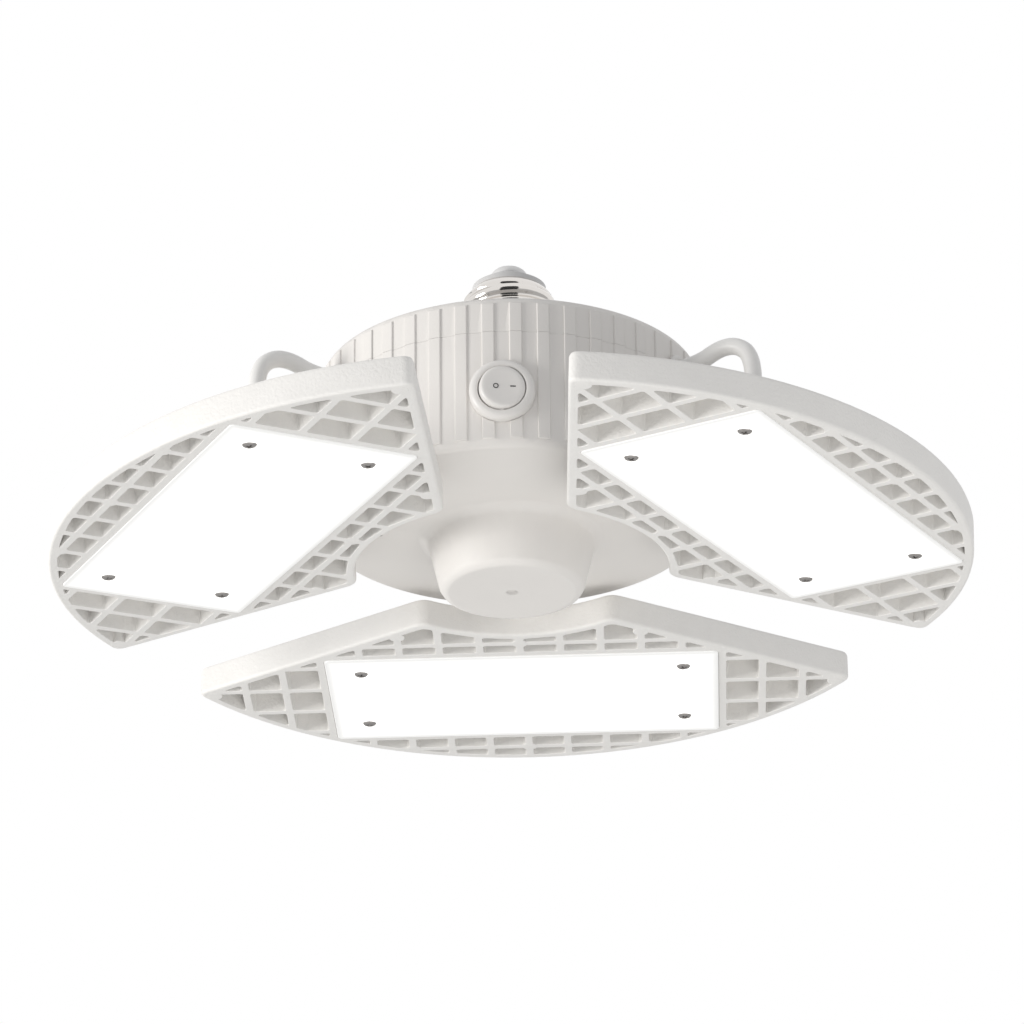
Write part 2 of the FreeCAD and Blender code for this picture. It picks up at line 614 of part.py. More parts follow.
def panel_frame(azimuth, place):
    blank = sector("blank_" + place, "0", PANEL_FACE, "panel_thickness")
    blank = rounded("blank_corners_" + place, blank, "corner_round",
                    lambda edge: upright(edge) and edge.BoundBox.XMin < value("lens_reach / 2"))
    blank = rounded("blank_tips_" + place, blank, "tip_round",
                    lambda edge: upright(edge)
                    and abs(edge.BoundBox.YMin) > value("1.4 * lens_length / 2"))
    blank = eased("blank_back_" + place, blank, "back_bevel", edge_at_height(PANEL_BACK))
    hollow = sector("hollow_" + place, "edge_wall", PANEL_FACE, LATTICE_DEPTH)
    hollow = rounded("hollow_tips_" + place, hollow, "tip_round / 2",
                     lambda edge: upright(edge)
                     and abs(edge.BoundBox.YMin) > value("1.3 * lens_length / 2"))
    cells = cut("cells_" + place, hollow, lattice())
    seat = block("lens_seat", "lens_width + 2 * fit_gap", "lens_length + 2 * fit_gap",
                 "lens_thickness - lens_proud", "lens_reach", "0", PANEL_FACE)
    well = block("board_well", "lens_width - 2 * ledge", "lens_length - 2 * ledge",
                 LATTICE_DEPTH, "lens_reach", "0", PANEL_FACE)
    posts = [bar("lens_post", PEG, "post_radius",
                 LATTICE_DEPTH + " - lens_thickness + lens_proud", x, y,
                 "-face_reach + lens_thickness - lens_proud")
             for x, y in lens_screw_spots()]
    tools = [cells, seat, cut("board_well_" + place, well, posts)]
    for x, y in lens_screw_spots():
        tools.append(bar("lens_screw_pilot", PEG, "screw_radius + running_gap",
                         "screw_length", x, y, PANEL_FACE))
    for x, y in arm_screw_spots():
        tools.append(bar("arm_screw_pilot", PEG, "screw_radius + running_gap",
                         "screw_length", x, y, PANEL_BACK + " - arm_screw_depth"))
    tools.append(bar("wire_hole", PEG, "wire_hole", "3 * back_plate", "gland_reach", "0",
                     PANEL_BACK + " - 2 * back_plate"))
    frame = cut("panel_frame_" + place, blank, tools)
    frame.Placement = panel_placement(azimuth)
    keep(frame, "panel_frame_" + place)


def lens_and_board(azimuth, place):
    plate = block("lens_plate_" + place, "lens_width", "lens_length", "lens_thickness",
                  "lens_reach", "0", "-face_reach - lens_proud")
    plate = rounded("lens_corners_" + place, plate, "lens_round", upright)
    holes = []
    for x, y in lens_screw_spots():
        holes.append(bar("lens_screw_seat", DISC, "screw_head_radius + 2 * fit_gap",
                         "screw_sink", x, y, "-face_reach - lens_proud"))
        holes.append(bar("lens_screw_hole", PEG, "screw_radius + fit_gap",
                         "2 * lens_thickness", x, y, "-face_reach - lens_proud"))
    lens = keep(cut("lens_" + place, plate, holes), "lens_" + place)

    screws = []
    for x, y in lens_screw_spots():
        under = "-face_reach - lens_proud + screw_sink"
        head = bar("lens_screw_head", DISC, "screw_head_radius", "screw_head_height", x, y,
                   under + " - screw_head_height")
        shank = bar("lens_screw_shank", PEG, "screw_radius", "screw_length - pilot_spare",
                    x, y, under)
        screws.append(fused("lens_screw", [shank, head]))
    screws = keep(group("lens_screws_" + place, screws), "lens_screws_" + place)

    board_low = PANEL_BACK + " - back_plate - board_thickness"
    sheet_metal = block("board_plate", "lens_width - 2 * ledge - 2 * board_margin",
                        "lens_length - 2 * ledge - 2 * board_margin", "board_thickness",
                        "lens_reach", "0", board_low)
    gaps = [bar("board_gap", PEG, "post_radius + 2 * fit_gap", "3 * board_thickness", x, y,
                board_low + " - board_thickness") for x, y in lens_screw_spots()]
    gaps.append(bar("board_wire_gap", PEG, "wire_hole", "3 * board_thickness",
                    "gland_reach", "0", board_low + " - board_thickness"))
    board = keep(cut("led_board_" + place, sheet_metal, gaps), "led_board_" + place)

    rows, columns = int(value("led_rows")), int(value("led_columns"))
    chips = []
    for across in range(rows):
        for along in range(columns):
            chips.append(block("led_chip", "led_width", "led_length", "led_height",
                               "lens_reach + %g * led_row_pitch" % (across - (rows - 1) / 2),
                               "%g * led_column_pitch" % (along - (columns - 1) / 2),
                               board_low + " - led_height"))
    chips = keep(group("leds_" + place, chips), "leds_" + place)
    for piece in (lens, screws, board, chips):
        piece.Placement = panel_placement(azimuth)


def panel_arm(azimuth, place):
    eye = cylinder("arm_eye", "eye_radius", "eye_width", "0", "-eye_width / 2", "0", ALONG_Y)
    neck = block("arm_neck", "arm_start + arm_thickness", "eye_width", "arm_thickness",
                 "(arm_start + arm_thickness) / 2", "0", PANEL_BACK)
    strap = block("arm_strap", "arm_end - arm_start", "arm_width", "arm_thickness",
                  "(arm_end + arm_start) / 2", "0", PANEL_BACK)
    strap = rounded("arm_corners_" + place, strap, "arm_round", upright)
    holes = [cylinder("arm_bore", "pin_radius + running_gap", "2 * eye_width", "0",
                      "-eye_width", "0", ALONG_Y)]
    head_seat = PANEL_BACK + " + arm_thickness - arm_head_depth"
    for x, y in arm_screw_spots():
        holes.append(bar("arm_screw_hole", PEG, "screw_radius + fit_gap",
                         "2 * arm_thickness", x, y, PANEL_BACK))
        holes.append(bar("arm_screw_sink", DISC, "arm_head_radius + fit_gap",
                         "arm_thickness", x, y, head_seat))
    arm = cut("panel_arm_" + place, fused("arm_whole_" + place, [eye, neck, strap]), holes)

    screws = []
    shank_low = PANEL_BACK + " - arm_screw_depth + arm_screw_spare"
    for x, y in arm_screw_spots():
        head = bar("arm_screw_head", DISC, "arm_head_radius", "arm_head_depth - face_gap",
                   x, y, head_seat)
        shank = bar("arm_screw_shank", PEG, "screw_radius",
                    "(%s) - (%s)" % (head_seat, shank_low), x, y, shank_low)
        screws.append(fused("arm_screw", [shank, head]))
    screws = group("arm_screws_" + place, screws)
    for piece, label in ((arm, "panel_arm_"), (screws, "arm_screws_")):
        keep(piece, label + place)
        piece.Placement = panel_placement(azimuth)


# ---------------------------------------------------------------- leads

def lead_path():
    """Straight runs joined by tangent arcs, with the radii of the arcs."""
    wall, seam = value("body_radius"), value("seam_drop")
    points = [FreeCAD.Vector(wall + out, 0, -seam - down) for out, down in LEAD_ROUTE]
    edges, radii, start = [], [], points[0]
    for before, here, after in zip(points, points[1:], points[2:]):
        back, ahead = before.sub(here), after.sub(here)
        shorter = min(back.Length, ahead.Length)
        turn = math.pi - back.getAngle(ahead)
        back.normalize()
        ahead.normalize()
        entry = here.add(back * (0.45 * shorter))
        leave = here.add(ahead * (0.45 * shorter))
        radius = 0.45 * shorter / math.tan(turn / 2)
        bisector = back.add(ahead).normalize()
        middle = here.add(bisector * (radius / math.cos(turn / 2) - radius))
        edges.append(Part.LineSegment(start, entry).toShape())
        edges.append(Part.Arc(entry, middle, leave).toShape())
        radii.append(radius)
        start = leave
    edges.append(Part.LineSegment(start, points[-1]).toShape())
    return Part.Wire(edges), radii


def lead(azimuth, place):
    path, radii = lead_path()
    start = path.Edges[0].Vertexes[0].Point
    radius, step = value("lead_radius"), 2 * math.pi / PEG
    corners = [start + FreeCAD.Vector(0, radius * math.cos(n * step), radius * math.sin(n * step))
               for n in range(PEG)]
    ring = Part.makePolygon(corners + corners[:1])
    tube = path.makePipeShell([ring], True, False)
    expected = PEG / 2 * radius ** 2 * math.sin(step) * path.Length
    print("lead: length %.1f, radii %s, volume %.1f of %.1f" % (
        path.Length, ", ".join("%.1f" % radius for radius in radii), tube.Volume, expected))
    piece = doc.addObject("Part::Feature", "lead_" + place)
    piece.Shape = tube
    piece.Placement = FreeCAD.Placement(
        FreeCAD.Vector(0, 0, 0), FreeCAD.Rotation(FreeCAD.Vector(0, 0, 1), azimuth))
    keep(piece, "lead_" + place)


def grommet(azimuth, place):
    """Rubber bush that the lead leaves the lamp body through, clamped at the seam."""
    outside = "body_radius + rib_height + face_gap"
    neck = bar("grommet_neck_rod", DISC, "grommet_neck", "wall + rib_height + 2 * face_gap",
               turn=ALONG_X)
    spin(neck, azimuth, "body_radius - wall", "0", "-seam_drop")
    flange = bar("grommet_flange_disc", DISC, "grommet_radius", "grommet_flange",
                 turn=ALONG_X)
    spin(flange, azimuth, outside, "0", "-seam_drop")
    bore = bar("grommet_bore", DISC, "lead_radius + lead_gap", "4 * wall", turn=ALONG_X)
    spin(bore, azimuth, "body_radius - 2 * wall", "0", "-seam_drop")
    keep(cut("grommet_" + place, fused("grommet_whole_" + place, [neck, flange]), [bore]),
         "grommet_" + place)


def gland(azimuth, place):
    """Strain relief on the panel's back, where the lead ends."""
    flange = bar("gland_flange_hexagon", 6, "gland_flange_radius", "gland_flange",
                 "gland_reach", "0", PANEL_BACK)
    boot = bar("gland_boot", DISC, "gland_radius", "gland_height", "gland_reach", "0",
               PANEL_BACK)
    bore = bar("gland_bore", DISC, "lead_radius + lead_gap", "gland_height", "gland_reach",
               "0", PANEL_BACK + " + gland_flange / 2")
    entry = bar("gland_entry", PEG, "wire_hole", "gland_flange", "gland_reach", "0",
                PANEL_BACK)
    piece = cut("gland_" + place, fused("gland_whole_" + place, [flange, boot]),
                [bore, entry])
    piece.Placement = panel_placement(azimuth)
    keep(piece, "gland_" + place)


# ---------------------------------------------------------------- switch

def switch():
    well_floor = "bezel_front - rocker_pivot_depth - rocker_well"
    body = turned("switch_turned", [
        ("0", "bezel_seat - barrel_depth"),
        ("barrel_radius", "bezel_seat - barrel_depth"),
        ("barrel_radius", "bezel_seat"),
        ("bezel_radius", "bezel_seat"),
    ] + bevel("bezel_radius", "bezel_front", "bezel_round", ((0, -1), (-1, 0))) + [
        ("rocker_radius + rocker_gap", "bezel_front"),
        ("rocker_radius + rocker_gap", well_floor),
        ("0", well_floor),
    ])
    body.Placement = FreeCAD.Placement(FreeCAD.Vector(0, 0, -value("switch_drop")), FACING)
    trunnion_reach = "rocker_radius + trunnion_length + running_gap"
    sockets = cylinder("trunnion_sockets", "trunnion_radius + running_gap",
                       "2 * (%s)" % trunnion_reach, "0", "-bezel_front + rocker_pivot_depth",
                       "-switch_drop - (%s)" % trunnion_reach)
    keep(cut("switch_body", body, [sockets]), "switch_body")

    blades = []
    for side in (-1, 1):
        blade = doc.addObject("Part::Box", "switch_blade")
        bind(blade, Length="blade_thickness", Width="blade_length", Height="blade_width")
        locate(blade, "%d * blade_spread - blade_thickness / 2" % side,
               "-bezel_seat + barrel_depth", "-switch_drop - blade_width / 2")
        blades.append(blade)
    keep(group("switch_terminals", blades), "switch_terminals")

    foot = "sqrt(rocker_radius ^ 2 - rocker_foot ^ 2)"
    waist = "sqrt(rocker_radius ^ 2 - rocker_pivot_depth ^ 2)"
    rim = "rocker_pivot_depth + rocker_lip"
    button = turned("rocker_turned", [
        ("0", "-rocker_foot"),
        (foot, "-rocker_foot"),
        (waist, "rocker_pivot_depth"),
        ("rocker_edge_radius", rim + " - rocker_edge_drop"),
        ("rocker_face_radius", rim),
        ("0", rim),
    ])
    axle = cylinder("rocker_axle", "trunnion_radius",
                    "2 * (rocker_radius + trunnion_length)", "0",
                    "-rocker_radius - trunnion_length", "0", ALONG_Y)
    rocker = fused("switch_rocker", [button, axle])
    tilt = FreeCAD.Rotation(FreeCAD.Vector(0, 0, 1), value("rocker_tilt"))
    rocker.Placement = FreeCAD.Placement(
        FreeCAD.Vector(0, value("-bezel_front + rocker_pivot_depth"), -value("switch_drop")),
        tilt.multiply(FACING))
    keep(rocker, "switch_rocker")


# ---------------------------------------------------------------- driver

def driver():
    top = "-driver_drop + driver_thickness"
    plate = bar("driver_plate", PEG, "body_radius - driver_inset", "driver_thickness", "0",
                "0", "-driver_drop")
    holes, screws = [], []
    for azimuth in POST_AZIMUTHS:
        hole = bar("board_screw_hole", PEG, "screw_radius + fit_gap", "3 * driver_thickness")
        holes.append(spin(hole, azimuth, "standoff_circle", "0",
                          "-driver_drop - driver_thickness"))
        head = bar("board_screw_head", DISC, "screw_head_radius", "screw_head_height")
        spin(head, azimuth, "standoff_circle", "0", top)
        shank = bar("board_screw_shank", PEG, "screw_radius", "screw_length")
        spin(shank, azimuth, "standoff_circle", "0", top + " - screw_length")
        screws.append(fused("board_screw", [shank, head]))
    keep(cut("driver_board", plate, holes), "driver_board")
    keep(group("driver_screws", screws), "driver_screws")

    core = block("transformer_core", "core_length", "core_width", "core_height",
                 "core_across", "core_along", top)
    keep(core, "driver_transformer")
    cans = [bar("capacitor_tall", DISC, "can_radius", "can_height", "can_across",
                "can_along", top),
            bar("capacitor_short", DISC, "small_can_radius", "small_can_height",
                "small_can_across", "small_can_along", top)]
    keep(group("driver_capacitors", cans), "driver_capacitors")
    ring = bar("coil_outside", DISC, "coil_radius + coil_half", "2 * coil_half",
               "coil_across", "coil_along", top)
    eye = bar("coil_inside", DISC, "coil_radius - coil_half", "4 * coil_half",
              "coil_across", "coil_along", top + " - coil_half")
    keep(cut("driver_coil", ring, [eye]), "driver_coil")
    fin = block("heat_sink_fin", "fin_thickness", "fin_width", "fin_height",
                "fin_across", "0", top)
    foot = block("heat_sink_foot", "fin_foot", "fin_width", "fin_thickness",
                 "fin_across - fin_thickness / 2 + fin_foot / 2", "0", top)
    keep(fused("driver_heat_sink", [fin, foot]), "driver_heat_sink")


screw_base()
top_cap()
housing()
switch()
driver()
for direction, spot in zip(PANEL_AZIMUTHS, PANEL_NAMES):
    hinge_hardware(direction, spot)
    panel_frame(direction, spot)
    lens_and_board(direction, spot)
    panel_arm(direction, spot)
    gland(direction, spot)
    grommet(direction, spot)
    lead(direction, spot)

# ---------------------------------------------------------------- checking and writing

doc.recompute()
for item in doc.Objects:
    faults = [word for word in item.State if word in ("Invalid", "Error")]
    if faults:
        raise RuntimeError("%s: %s" % (item.Label, item.State))
os.makedirs("parts", exist_ok=True)
for piece in exports:
    shape = piece.Shape
    if shape.isNull() or not shape.isValid() or not shape.Solids:
        raise RuntimeError("no valid solid in " + piece.Label)
    shape.exportStep("parts/%s.step" % piece.Label)
    print("%-22s solids %2d  volume %9.1f" % (piece.Label, len(shape.Solids), shape.Volume))
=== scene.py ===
# %% [markdown]
# # A garage light with three tilting panels
#
# This lesson dresses a lamp that screws into a bulb socket. Its body holds the driver and a
# rocker switch, and three wide panels tilt on hinges under it. The solid model comes from CAD
# as a fixed frame. Here each visible piece gets its finished shape and its surface.
# Lengths are in metres, so a value in millimetres is multiplied by MM.

import math

import bmesh
import bpy
from mathutils import Matrix, Vector


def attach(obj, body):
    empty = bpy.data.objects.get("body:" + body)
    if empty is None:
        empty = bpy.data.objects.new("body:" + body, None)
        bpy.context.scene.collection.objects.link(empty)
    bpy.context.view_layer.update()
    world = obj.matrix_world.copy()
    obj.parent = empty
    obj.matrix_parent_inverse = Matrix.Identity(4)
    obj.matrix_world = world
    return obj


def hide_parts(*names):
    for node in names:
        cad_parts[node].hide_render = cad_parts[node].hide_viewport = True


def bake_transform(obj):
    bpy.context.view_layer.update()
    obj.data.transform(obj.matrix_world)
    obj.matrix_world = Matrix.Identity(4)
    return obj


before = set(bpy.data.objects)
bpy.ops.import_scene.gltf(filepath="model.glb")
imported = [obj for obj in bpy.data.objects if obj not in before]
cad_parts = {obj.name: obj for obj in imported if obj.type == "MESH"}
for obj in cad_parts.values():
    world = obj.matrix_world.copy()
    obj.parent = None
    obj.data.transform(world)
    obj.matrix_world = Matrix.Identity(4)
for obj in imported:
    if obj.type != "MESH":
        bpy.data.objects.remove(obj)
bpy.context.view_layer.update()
MM = 0.001
print("nodes in the frame:", len(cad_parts))

# %% [markdown]
# The photograph looks up at the lamp from a little below, through a long lens. A long lens far
# away keeps the three panels nearly the same scale. The camera stands on a line through the
# aim point, so its place is worked out from a distance and two angles, and its roll last.

# %% The camera
AIM = Vector((0.166, 0.0, -50.63)) * MM
DISTANCE = 1282.95 * MM
RAISE, SWING, ROLL = (math.radians(a) for a in (24.903, -2.259, -0.590))
LENS, SENSOR = 159.47, 36.0

stand = AIM + DISTANCE * Vector((math.cos(RAISE) * math.sin(-SWING),
                                 -math.cos(RAISE) * math.cos(SWING), -math.sin(RAISE)))
ahead = (AIM - stand).normalized()
right = ahead.cross(Vector((0, 0, 1))).normalized()
above = right.cross(ahead)
right, above = (math.cos(ROLL) * right + math.sin(ROLL) * above,
                math.cos(ROLL) * above - math.sin(ROLL) * right)
view = bpy.data.cameras.new("camera")
view.lens, view.sensor_width = LENS, SENSOR
view.clip_start, view.clip_end = 0.05, 20.0
camera = bpy.data.objects.new("camera", view)
camera.matrix_world = Matrix.Translation(stand) @ Matrix(
    (right, above, -ahead)).transposed().to_4x4()
bpy.context.scene.collection.objects.link(camera)
bpy.context.scene.camera = camera
print("camera stands at", [round(c, 3) for c in stand])

# %% [markdown]
# Every piece below starts as a bmesh, which holds points, edges and faces while they are
# shaped. A small helper turns a finished bmesh into an object. It asks for smooth shading
# with creases only where faces meet at a wide angle, as on moulded plastic. A Weighted Normal
# modifier lets large faces lead the shading, so a flat wall beside a round edge stays flat.

# %% From a bmesh to an object
CREASE = math.radians(38)


def piece(name, bm, place=None, crease=CREASE, weigh=True):
    """A new object from a bmesh, with its place put into its mesh."""
    if place is not None:
        bmesh.ops.transform(bm, matrix=place, verts=bm.verts)
    for face in bm.faces:
        face.smooth = True
    mesh = bpy.data.meshes.new(name)
    bm.to_mesh(mesh)
    bm.free()
    mesh.set_sharp_from_angle(angle=crease)
    made = bpy.data.objects.new(name, mesh)
    bpy.context.scene.collection.objects.link(made)
    if weigh:
        made.modifiers.new("flat faces stay flat", "WEIGHTED_NORMAL").keep_sharp = True
    return made


def merged(meshes):
    """One bmesh from several, which are freed."""
    whole = bmesh.new()
    for part in meshes:
        held = bpy.data.meshes.new("held")
        part.to_mesh(held)
        part.free()
        whole.from_mesh(held)
        bpy.data.meshes.remove(held)
    return whole


# %% [markdown]
# The three panels are the same piece turned about the lamp's axis. Panel coordinates start at
# the hinge: X points outwards, Y runs along the pin and Z points up. A panel droops by two and
# a half degrees, as in the photograph. One matrix takes a point from there to the lamp. The
# heights of a panel's underside and back, and the places of its lens and of the lens's screws,
# are needed more than once, so they have names.

# %% Panel coordinates
PLACES = {"far": 90.0, "left": 210.0, "right": 330.0}
HINGE_RADIUS, HINGE_DROP, DROOP = 36.8 * MM, 58.7 * MM, math.radians(2.46)
FACE, BACK = -10.6, -1.9
LENS_X = 48.9
LENS_SCREWS = [(x, y) for x in (-17.35, 17.35) for y in (-47.5, 47.5)]


def panel_place(azimuth):
    """The matrix from panel coordinates to the lamp's, for a panel at an angle in degrees."""
    return (Matrix.Rotation(math.radians(azimuth), 4, "Z")
            @ Matrix.Translation((HINGE_RADIUS, 0, -HINGE_DROP))
            @ Matrix.Rotation(DROOP, 4, "Y"))


panels = {name: panel_place(azimuth) for name, azimuth in PLACES.items()}
print("panels:", ", ".join(panels))

# %% [markdown]
# ## Surfaces
# A finish is a small network of nodes. The painted panels have a fine grain, which an orange
# peel of noise gives as a bump, and a faint change of tone and of gloss over the surface.
# All patterns read Object coordinates, so they stay on the piece when it tilts.

# %% Helpers for finishes
def plain(name, **sockets):
    """A material with a constant on each socket named, where _ stands for a space."""
    made = bpy.data.materials.new(name)
    made.use_nodes = True
    shader = made.node_tree.nodes["Principled BSDF"]
    for socket, constant in sockets.items():
        shader.inputs[socket.replace("_", " ")].default_value = constant
    return made


def finish(name, colour, rough, grain=0.0, grain_scale=900.0, tone=0.04, tone_scale=30.0,
           gloss_change=0.06, **sockets):
    """A material with a mottled tone, a varied gloss and a fine bump."""
    made = plain(name, **sockets)
    nodes, links = made.node_tree.nodes, made.node_tree.links
    shader = nodes["Principled BSDF"]
    where = nodes.new("ShaderNodeTexCoord")
    cloud = nodes.new("ShaderNodeTexNoise")
    cloud.inputs["Scale"].default_value = tone_scale
    cloud.inputs["Detail"].default_value = 5.0
    links.new(where.outputs["Object"], cloud.inputs["Vector"])
    ramp = nodes.new("ShaderNodeMix")
    ramp.data_type = "RGBA"
    ramp.inputs[6].default_value = (*[c * (1 - tone) for c in colour], 1)
    ramp.inputs[7].default_value = (*[min(1, c * (1 + tone)) for c in colour], 1)
    links.new(cloud.outputs["Fac"], ramp.inputs[0])
    links.new(ramp.outputs[2], shader.inputs["Base Color"])
    gloss = nodes.new("ShaderNodeMapRange")
    gloss.inputs["To Min"].default_value = max(0.02, rough - gloss_change)
    gloss.inputs["To Max"].default_value = min(1.0, rough + gloss_change)
    links.new(cloud.outputs["Fac"], gloss.inputs["Value"])
    links.new(gloss.outputs["Result"], shader.inputs["Roughness"])
    if grain:
        speck = nodes.new("ShaderNodeTexNoise")
        speck.inputs["Scale"].default_value = grain_scale
        speck.inputs["Detail"].default_value = 3.0
        links.new(where.outputs["Object"], speck.inputs["Vector"])
        bump = nodes.new("ShaderNodeBump")
        bump.inputs["Strength"].default_value = grain
        bump.inputs["Distance"].default_value = 0.2 * MM
        links.new(speck.outputs["Fac"], bump.inputs["Height"])
        links.new(bump.outputs["Normal"], shader.inputs["Normal"])
    return made


finishes = {
    "body_plastic": finish("body_plastic", (0.80, 0.775, 0.745), 0.52, grain=0.10,
                           grain_scale=1400),
    "panel_coat": finish("panel_coat", (0.83, 0.815, 0.79), 0.48, grain=0.75,
                         grain_scale=1300, tone=0.04, tone_scale=160),
    "switch_plastic": finish("switch_plastic", (0.80, 0.78, 0.755), 0.30, grain=0.05),
    "white_rubber": finish("white_rubber", (0.80, 0.785, 0.76), 0.55, grain=0.15),
    "lead_jacket": finish("lead_jacket", (0.84, 0.83, 0.81), 0.38, grain=0.12,
                          grain_scale=700),
    "shell_metal": finish("shell_metal", (0.74, 0.71, 0.68), 0.10, tone=0.08,
                          gloss_change=0.04, grain=0.04, grain_scale=600, Metallic=1.0),
    "contact_metal": finish("contact_metal", (0.74, 0.735, 0.73), 0.45, tone=0.05,
                            Metallic=0.25, grain=0.1),
    "insulator": finish("insulator", (0.62, 0.615, 0.61), 0.40, grain=0.12),
    "screw_steel": finish("screw_steel", (0.43, 0.41, 0.395), 0.30, tone=0.12,
                          tone_scale=900, Metallic=1.0, grain=0.1),
    "bare_aluminium": finish("bare_aluminium", (0.62, 0.63, 0.64), 0.36, tone=0.06,
                             Metallic=1.0, grain=0.2),
    "circuit_board": finish("circuit_board", (0.045, 0.17, 0.075), 0.35, tone=0.2,
                            tone_scale=400, grain=0.2),
    "dark_component": finish("dark_component", (0.035, 0.035, 0.04), 0.40, tone=0.3,
                             tone_scale=200, grain=0.2),
    "copper_winding": finish("copper_winding", (0.50, 0.20, 0.08), 0.32, tone=0.25,
                             tone_scale=500, Metallic=1.0, grain=0.3),
    "led_phosphor": finish("led_phosphor", (0.83, 0.70, 0.18), 0.5, tone=0.1,
                           tone_scale=900, grain=0.2),
    "mark_ink": finish("mark_ink", (0.03, 0.03, 0.032), 0.5, tone=0.2, tone_scale=900),
}
print("finishes:", len(finishes))

# %% [markdown]
# The lenses are opal plastic with lit diodes behind them. In the photograph they are plain
# white, with a soft edge where less light reaches the lip. An emission on an ordinary shader
# does this: it stays a surface with gloss, and a slow noise keeps it from being dead flat. The
# lens brings its own UV map, which runs from -1 to 1 across it, and the glow fades by it.

# %% The opal lens
GLOW, EDGE_GLOW = 0.9, 0.12
FADE_STARTS = (("X", 0.80), ("Y", 0.90))

opal = finish("opal_lens", (0.88, 0.88, 0.87), 0.35, grain=0.05, tone=0.01,
              Emission_Color=(1.0, 0.99, 0.97, 1))
nodes, links = opal.node_tree.nodes, opal.node_tree.links
across = nodes.new("ShaderNodeUVMap")
across.uv_map = "across"
apart = nodes.new("ShaderNodeSeparateXYZ")
links.new(across.outputs["UV"], apart.inputs["Vector"])
edge_glow = nodes.new("ShaderNodeMath")
edge_glow.operation = "MAXIMUM"
for index, (axis, start) in enumerate(FADE_STARTS):
    size = nodes.new("ShaderNodeMath")
    size.operation = "ABSOLUTE"
    links.new(apart.outputs[axis], size.inputs[0])
    fade = nodes.new("ShaderNodeMapRange")
    fade.interpolation_type = "SMOOTHSTEP"
    fade.inputs["From Min"].default_value = start
    links.new(size.outputs[0], fade.inputs["Value"])
    links.new(fade.outputs["Result"], edge_glow.inputs[index])
glow = nodes.new("ShaderNodeMapRange")
glow.inputs["To Min"].default_value, glow.inputs["To Max"].default_value = GLOW, EDGE_GLOW
links.new(edge_glow.outputs[0], glow.inputs["Value"])
links.new(glow.outputs["Result"], nodes["Principled BSDF"].inputs["Emission Strength"])
finishes["opal_lens"] = opal
print("glow of a lens in its middle and at its edge:", GLOW, EDGE_GLOW)


def dress(made, slot):
    """Give a piece its one finish, the one that its slot names."""
    made.data.materials.clear()
    made.data.materials.append(finishes[slot])
    return made


# %% [markdown]
# ## Leads
# Three short white leads carry current from the body to the panels. Each leaves the wall
# through a rubber bush, rises over a tight arch and drops into the panel's back. A NURBS
# spline of order 3 passes smoothly near its control points, as a stiff lead does. The tube
# is turned into a mesh. On the real lamp a lead bends while its panel tilts.

# %% The route of a lead
ROUTE = ((52.4, 21.2), (62.0, 21.2), (69.3, 18.1), (75.1, 18.9), (79.3, 23.5),
         (79.65, 35.5), (79.55, 48.0), (79.02, 61.4))
LEAD_RADIUS, LEAD_LENGTH = 2.4 * MM, 66.9 * MM


def lead_curve(azimuth):
    """The centre line of a lead, on the side of the body that its panel is on."""
    turn = Matrix.Rotation(math.radians(azimuth), 4, "Z")
    curve = bpy.data.curves.new("lead", "CURVE")
    curve.dimensions = "3D"
    spline = curve.splines.new("NURBS")
    spline.points.add(len(ROUTE) - 1)
    for point, (reach, drop) in zip(spline.points, ROUTE):
        point.co = (*(turn @ Vector((reach, 0, -drop)) * MM), 1)
    spline.order_u = 3
    spline.use_endpoint_u = True
    spline.resolution_u = 10
    return curve


def mesh_of(curve):
    """The mesh that Blender makes of a curve."""
    holder = bpy.data.objects.new("holder", curve)
    bpy.context.scene.collection.objects.link(holder)
    mesh = bpy.data.meshes.new_from_object(
        holder.evaluated_get(bpy.context.evaluated_depsgraph_get()))
    bpy.data.objects.remove(holder)
    return mesh


# %% The three leads
for place, azimuth in PLACES.items():
    curve = lead_curve(azimuth)
    line = [vertex.co.copy() for vertex in mesh_of(curve).vertices]
    curve.bevel_depth, curve.bevel_resolution = LEAD_RADIUS, 6
    curve.use_fill_caps = True
    bm = bmesh.new()
    bm.from_mesh(mesh_of(curve))
    bmesh.ops.remove_doubles(bm, verts=bm.verts, dist=1e-6)
    bmesh.ops.recalc_face_normals(bm, faces=bm.faces)
    lead = dress(piece("flex_lead_" + place, bm, weigh=False), "lead_jacket")
    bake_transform(lead)
    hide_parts("lead_" + place)
    print("lead", place, "points on its line:", len(line))

# %% [markdown]
# ## Round pieces
# Many pieces are bodies of revolution: bushes, screw heads, the switch's ring. A half
# section is drawn as a chain of points (radius, height), and spin turns it about Z. A round
# edge is an arc in the section, so it stays round from every side.

# %% Sections and spinning
def arc(centre, radius, start, end, steps=6):
    """Points of an arc, from one angle to another in degrees."""
    return [(centre[0] + radius * math.cos(math.radians(start + (end - start) * n / steps)),
             centre[1] + radius * math.sin(math.radians(start + (end - start) * n / steps)))
            for n in range(steps + 1)]


def spun(section, steps=64):
    """A body of revolution about Z from a half section in millimetres."""
    bm = bmesh.new()
    points = [bm.verts.new((r * MM, 0, z * MM)) for r, z in section]
    edges = [bm.edges.new(pair) for pair in zip(points, points[1:])]
    if section[0][0] > 0 or section[-1][0] > 0:
        edges.append(bm.edges.new((points[-1], points[0])))
    bmesh.ops.spin(bm, geom=points + edges, cent=(0, 0, 0), axis=(0, 0, 1),
                   angle=math.tau, steps=steps, use_merge=True)
    bmesh.ops.remove_doubles(bm, verts=bm.verts, dist=1e-7)
    bmesh.ops.recalc_face_normals(bm, faces=bm.faces)
    return bm


# %% [markdown]
# ## Bushes and strain reliefs
# A lead must not rub on the edge of a hole. A soft bush sits in the wall at the seam, and a
# nut with a rubber boot holds the lead on the panel's back. Both are turned shapes with
# rounded rims; the boot's foot is a hexagon, cut as a six-step spin of a flat section.

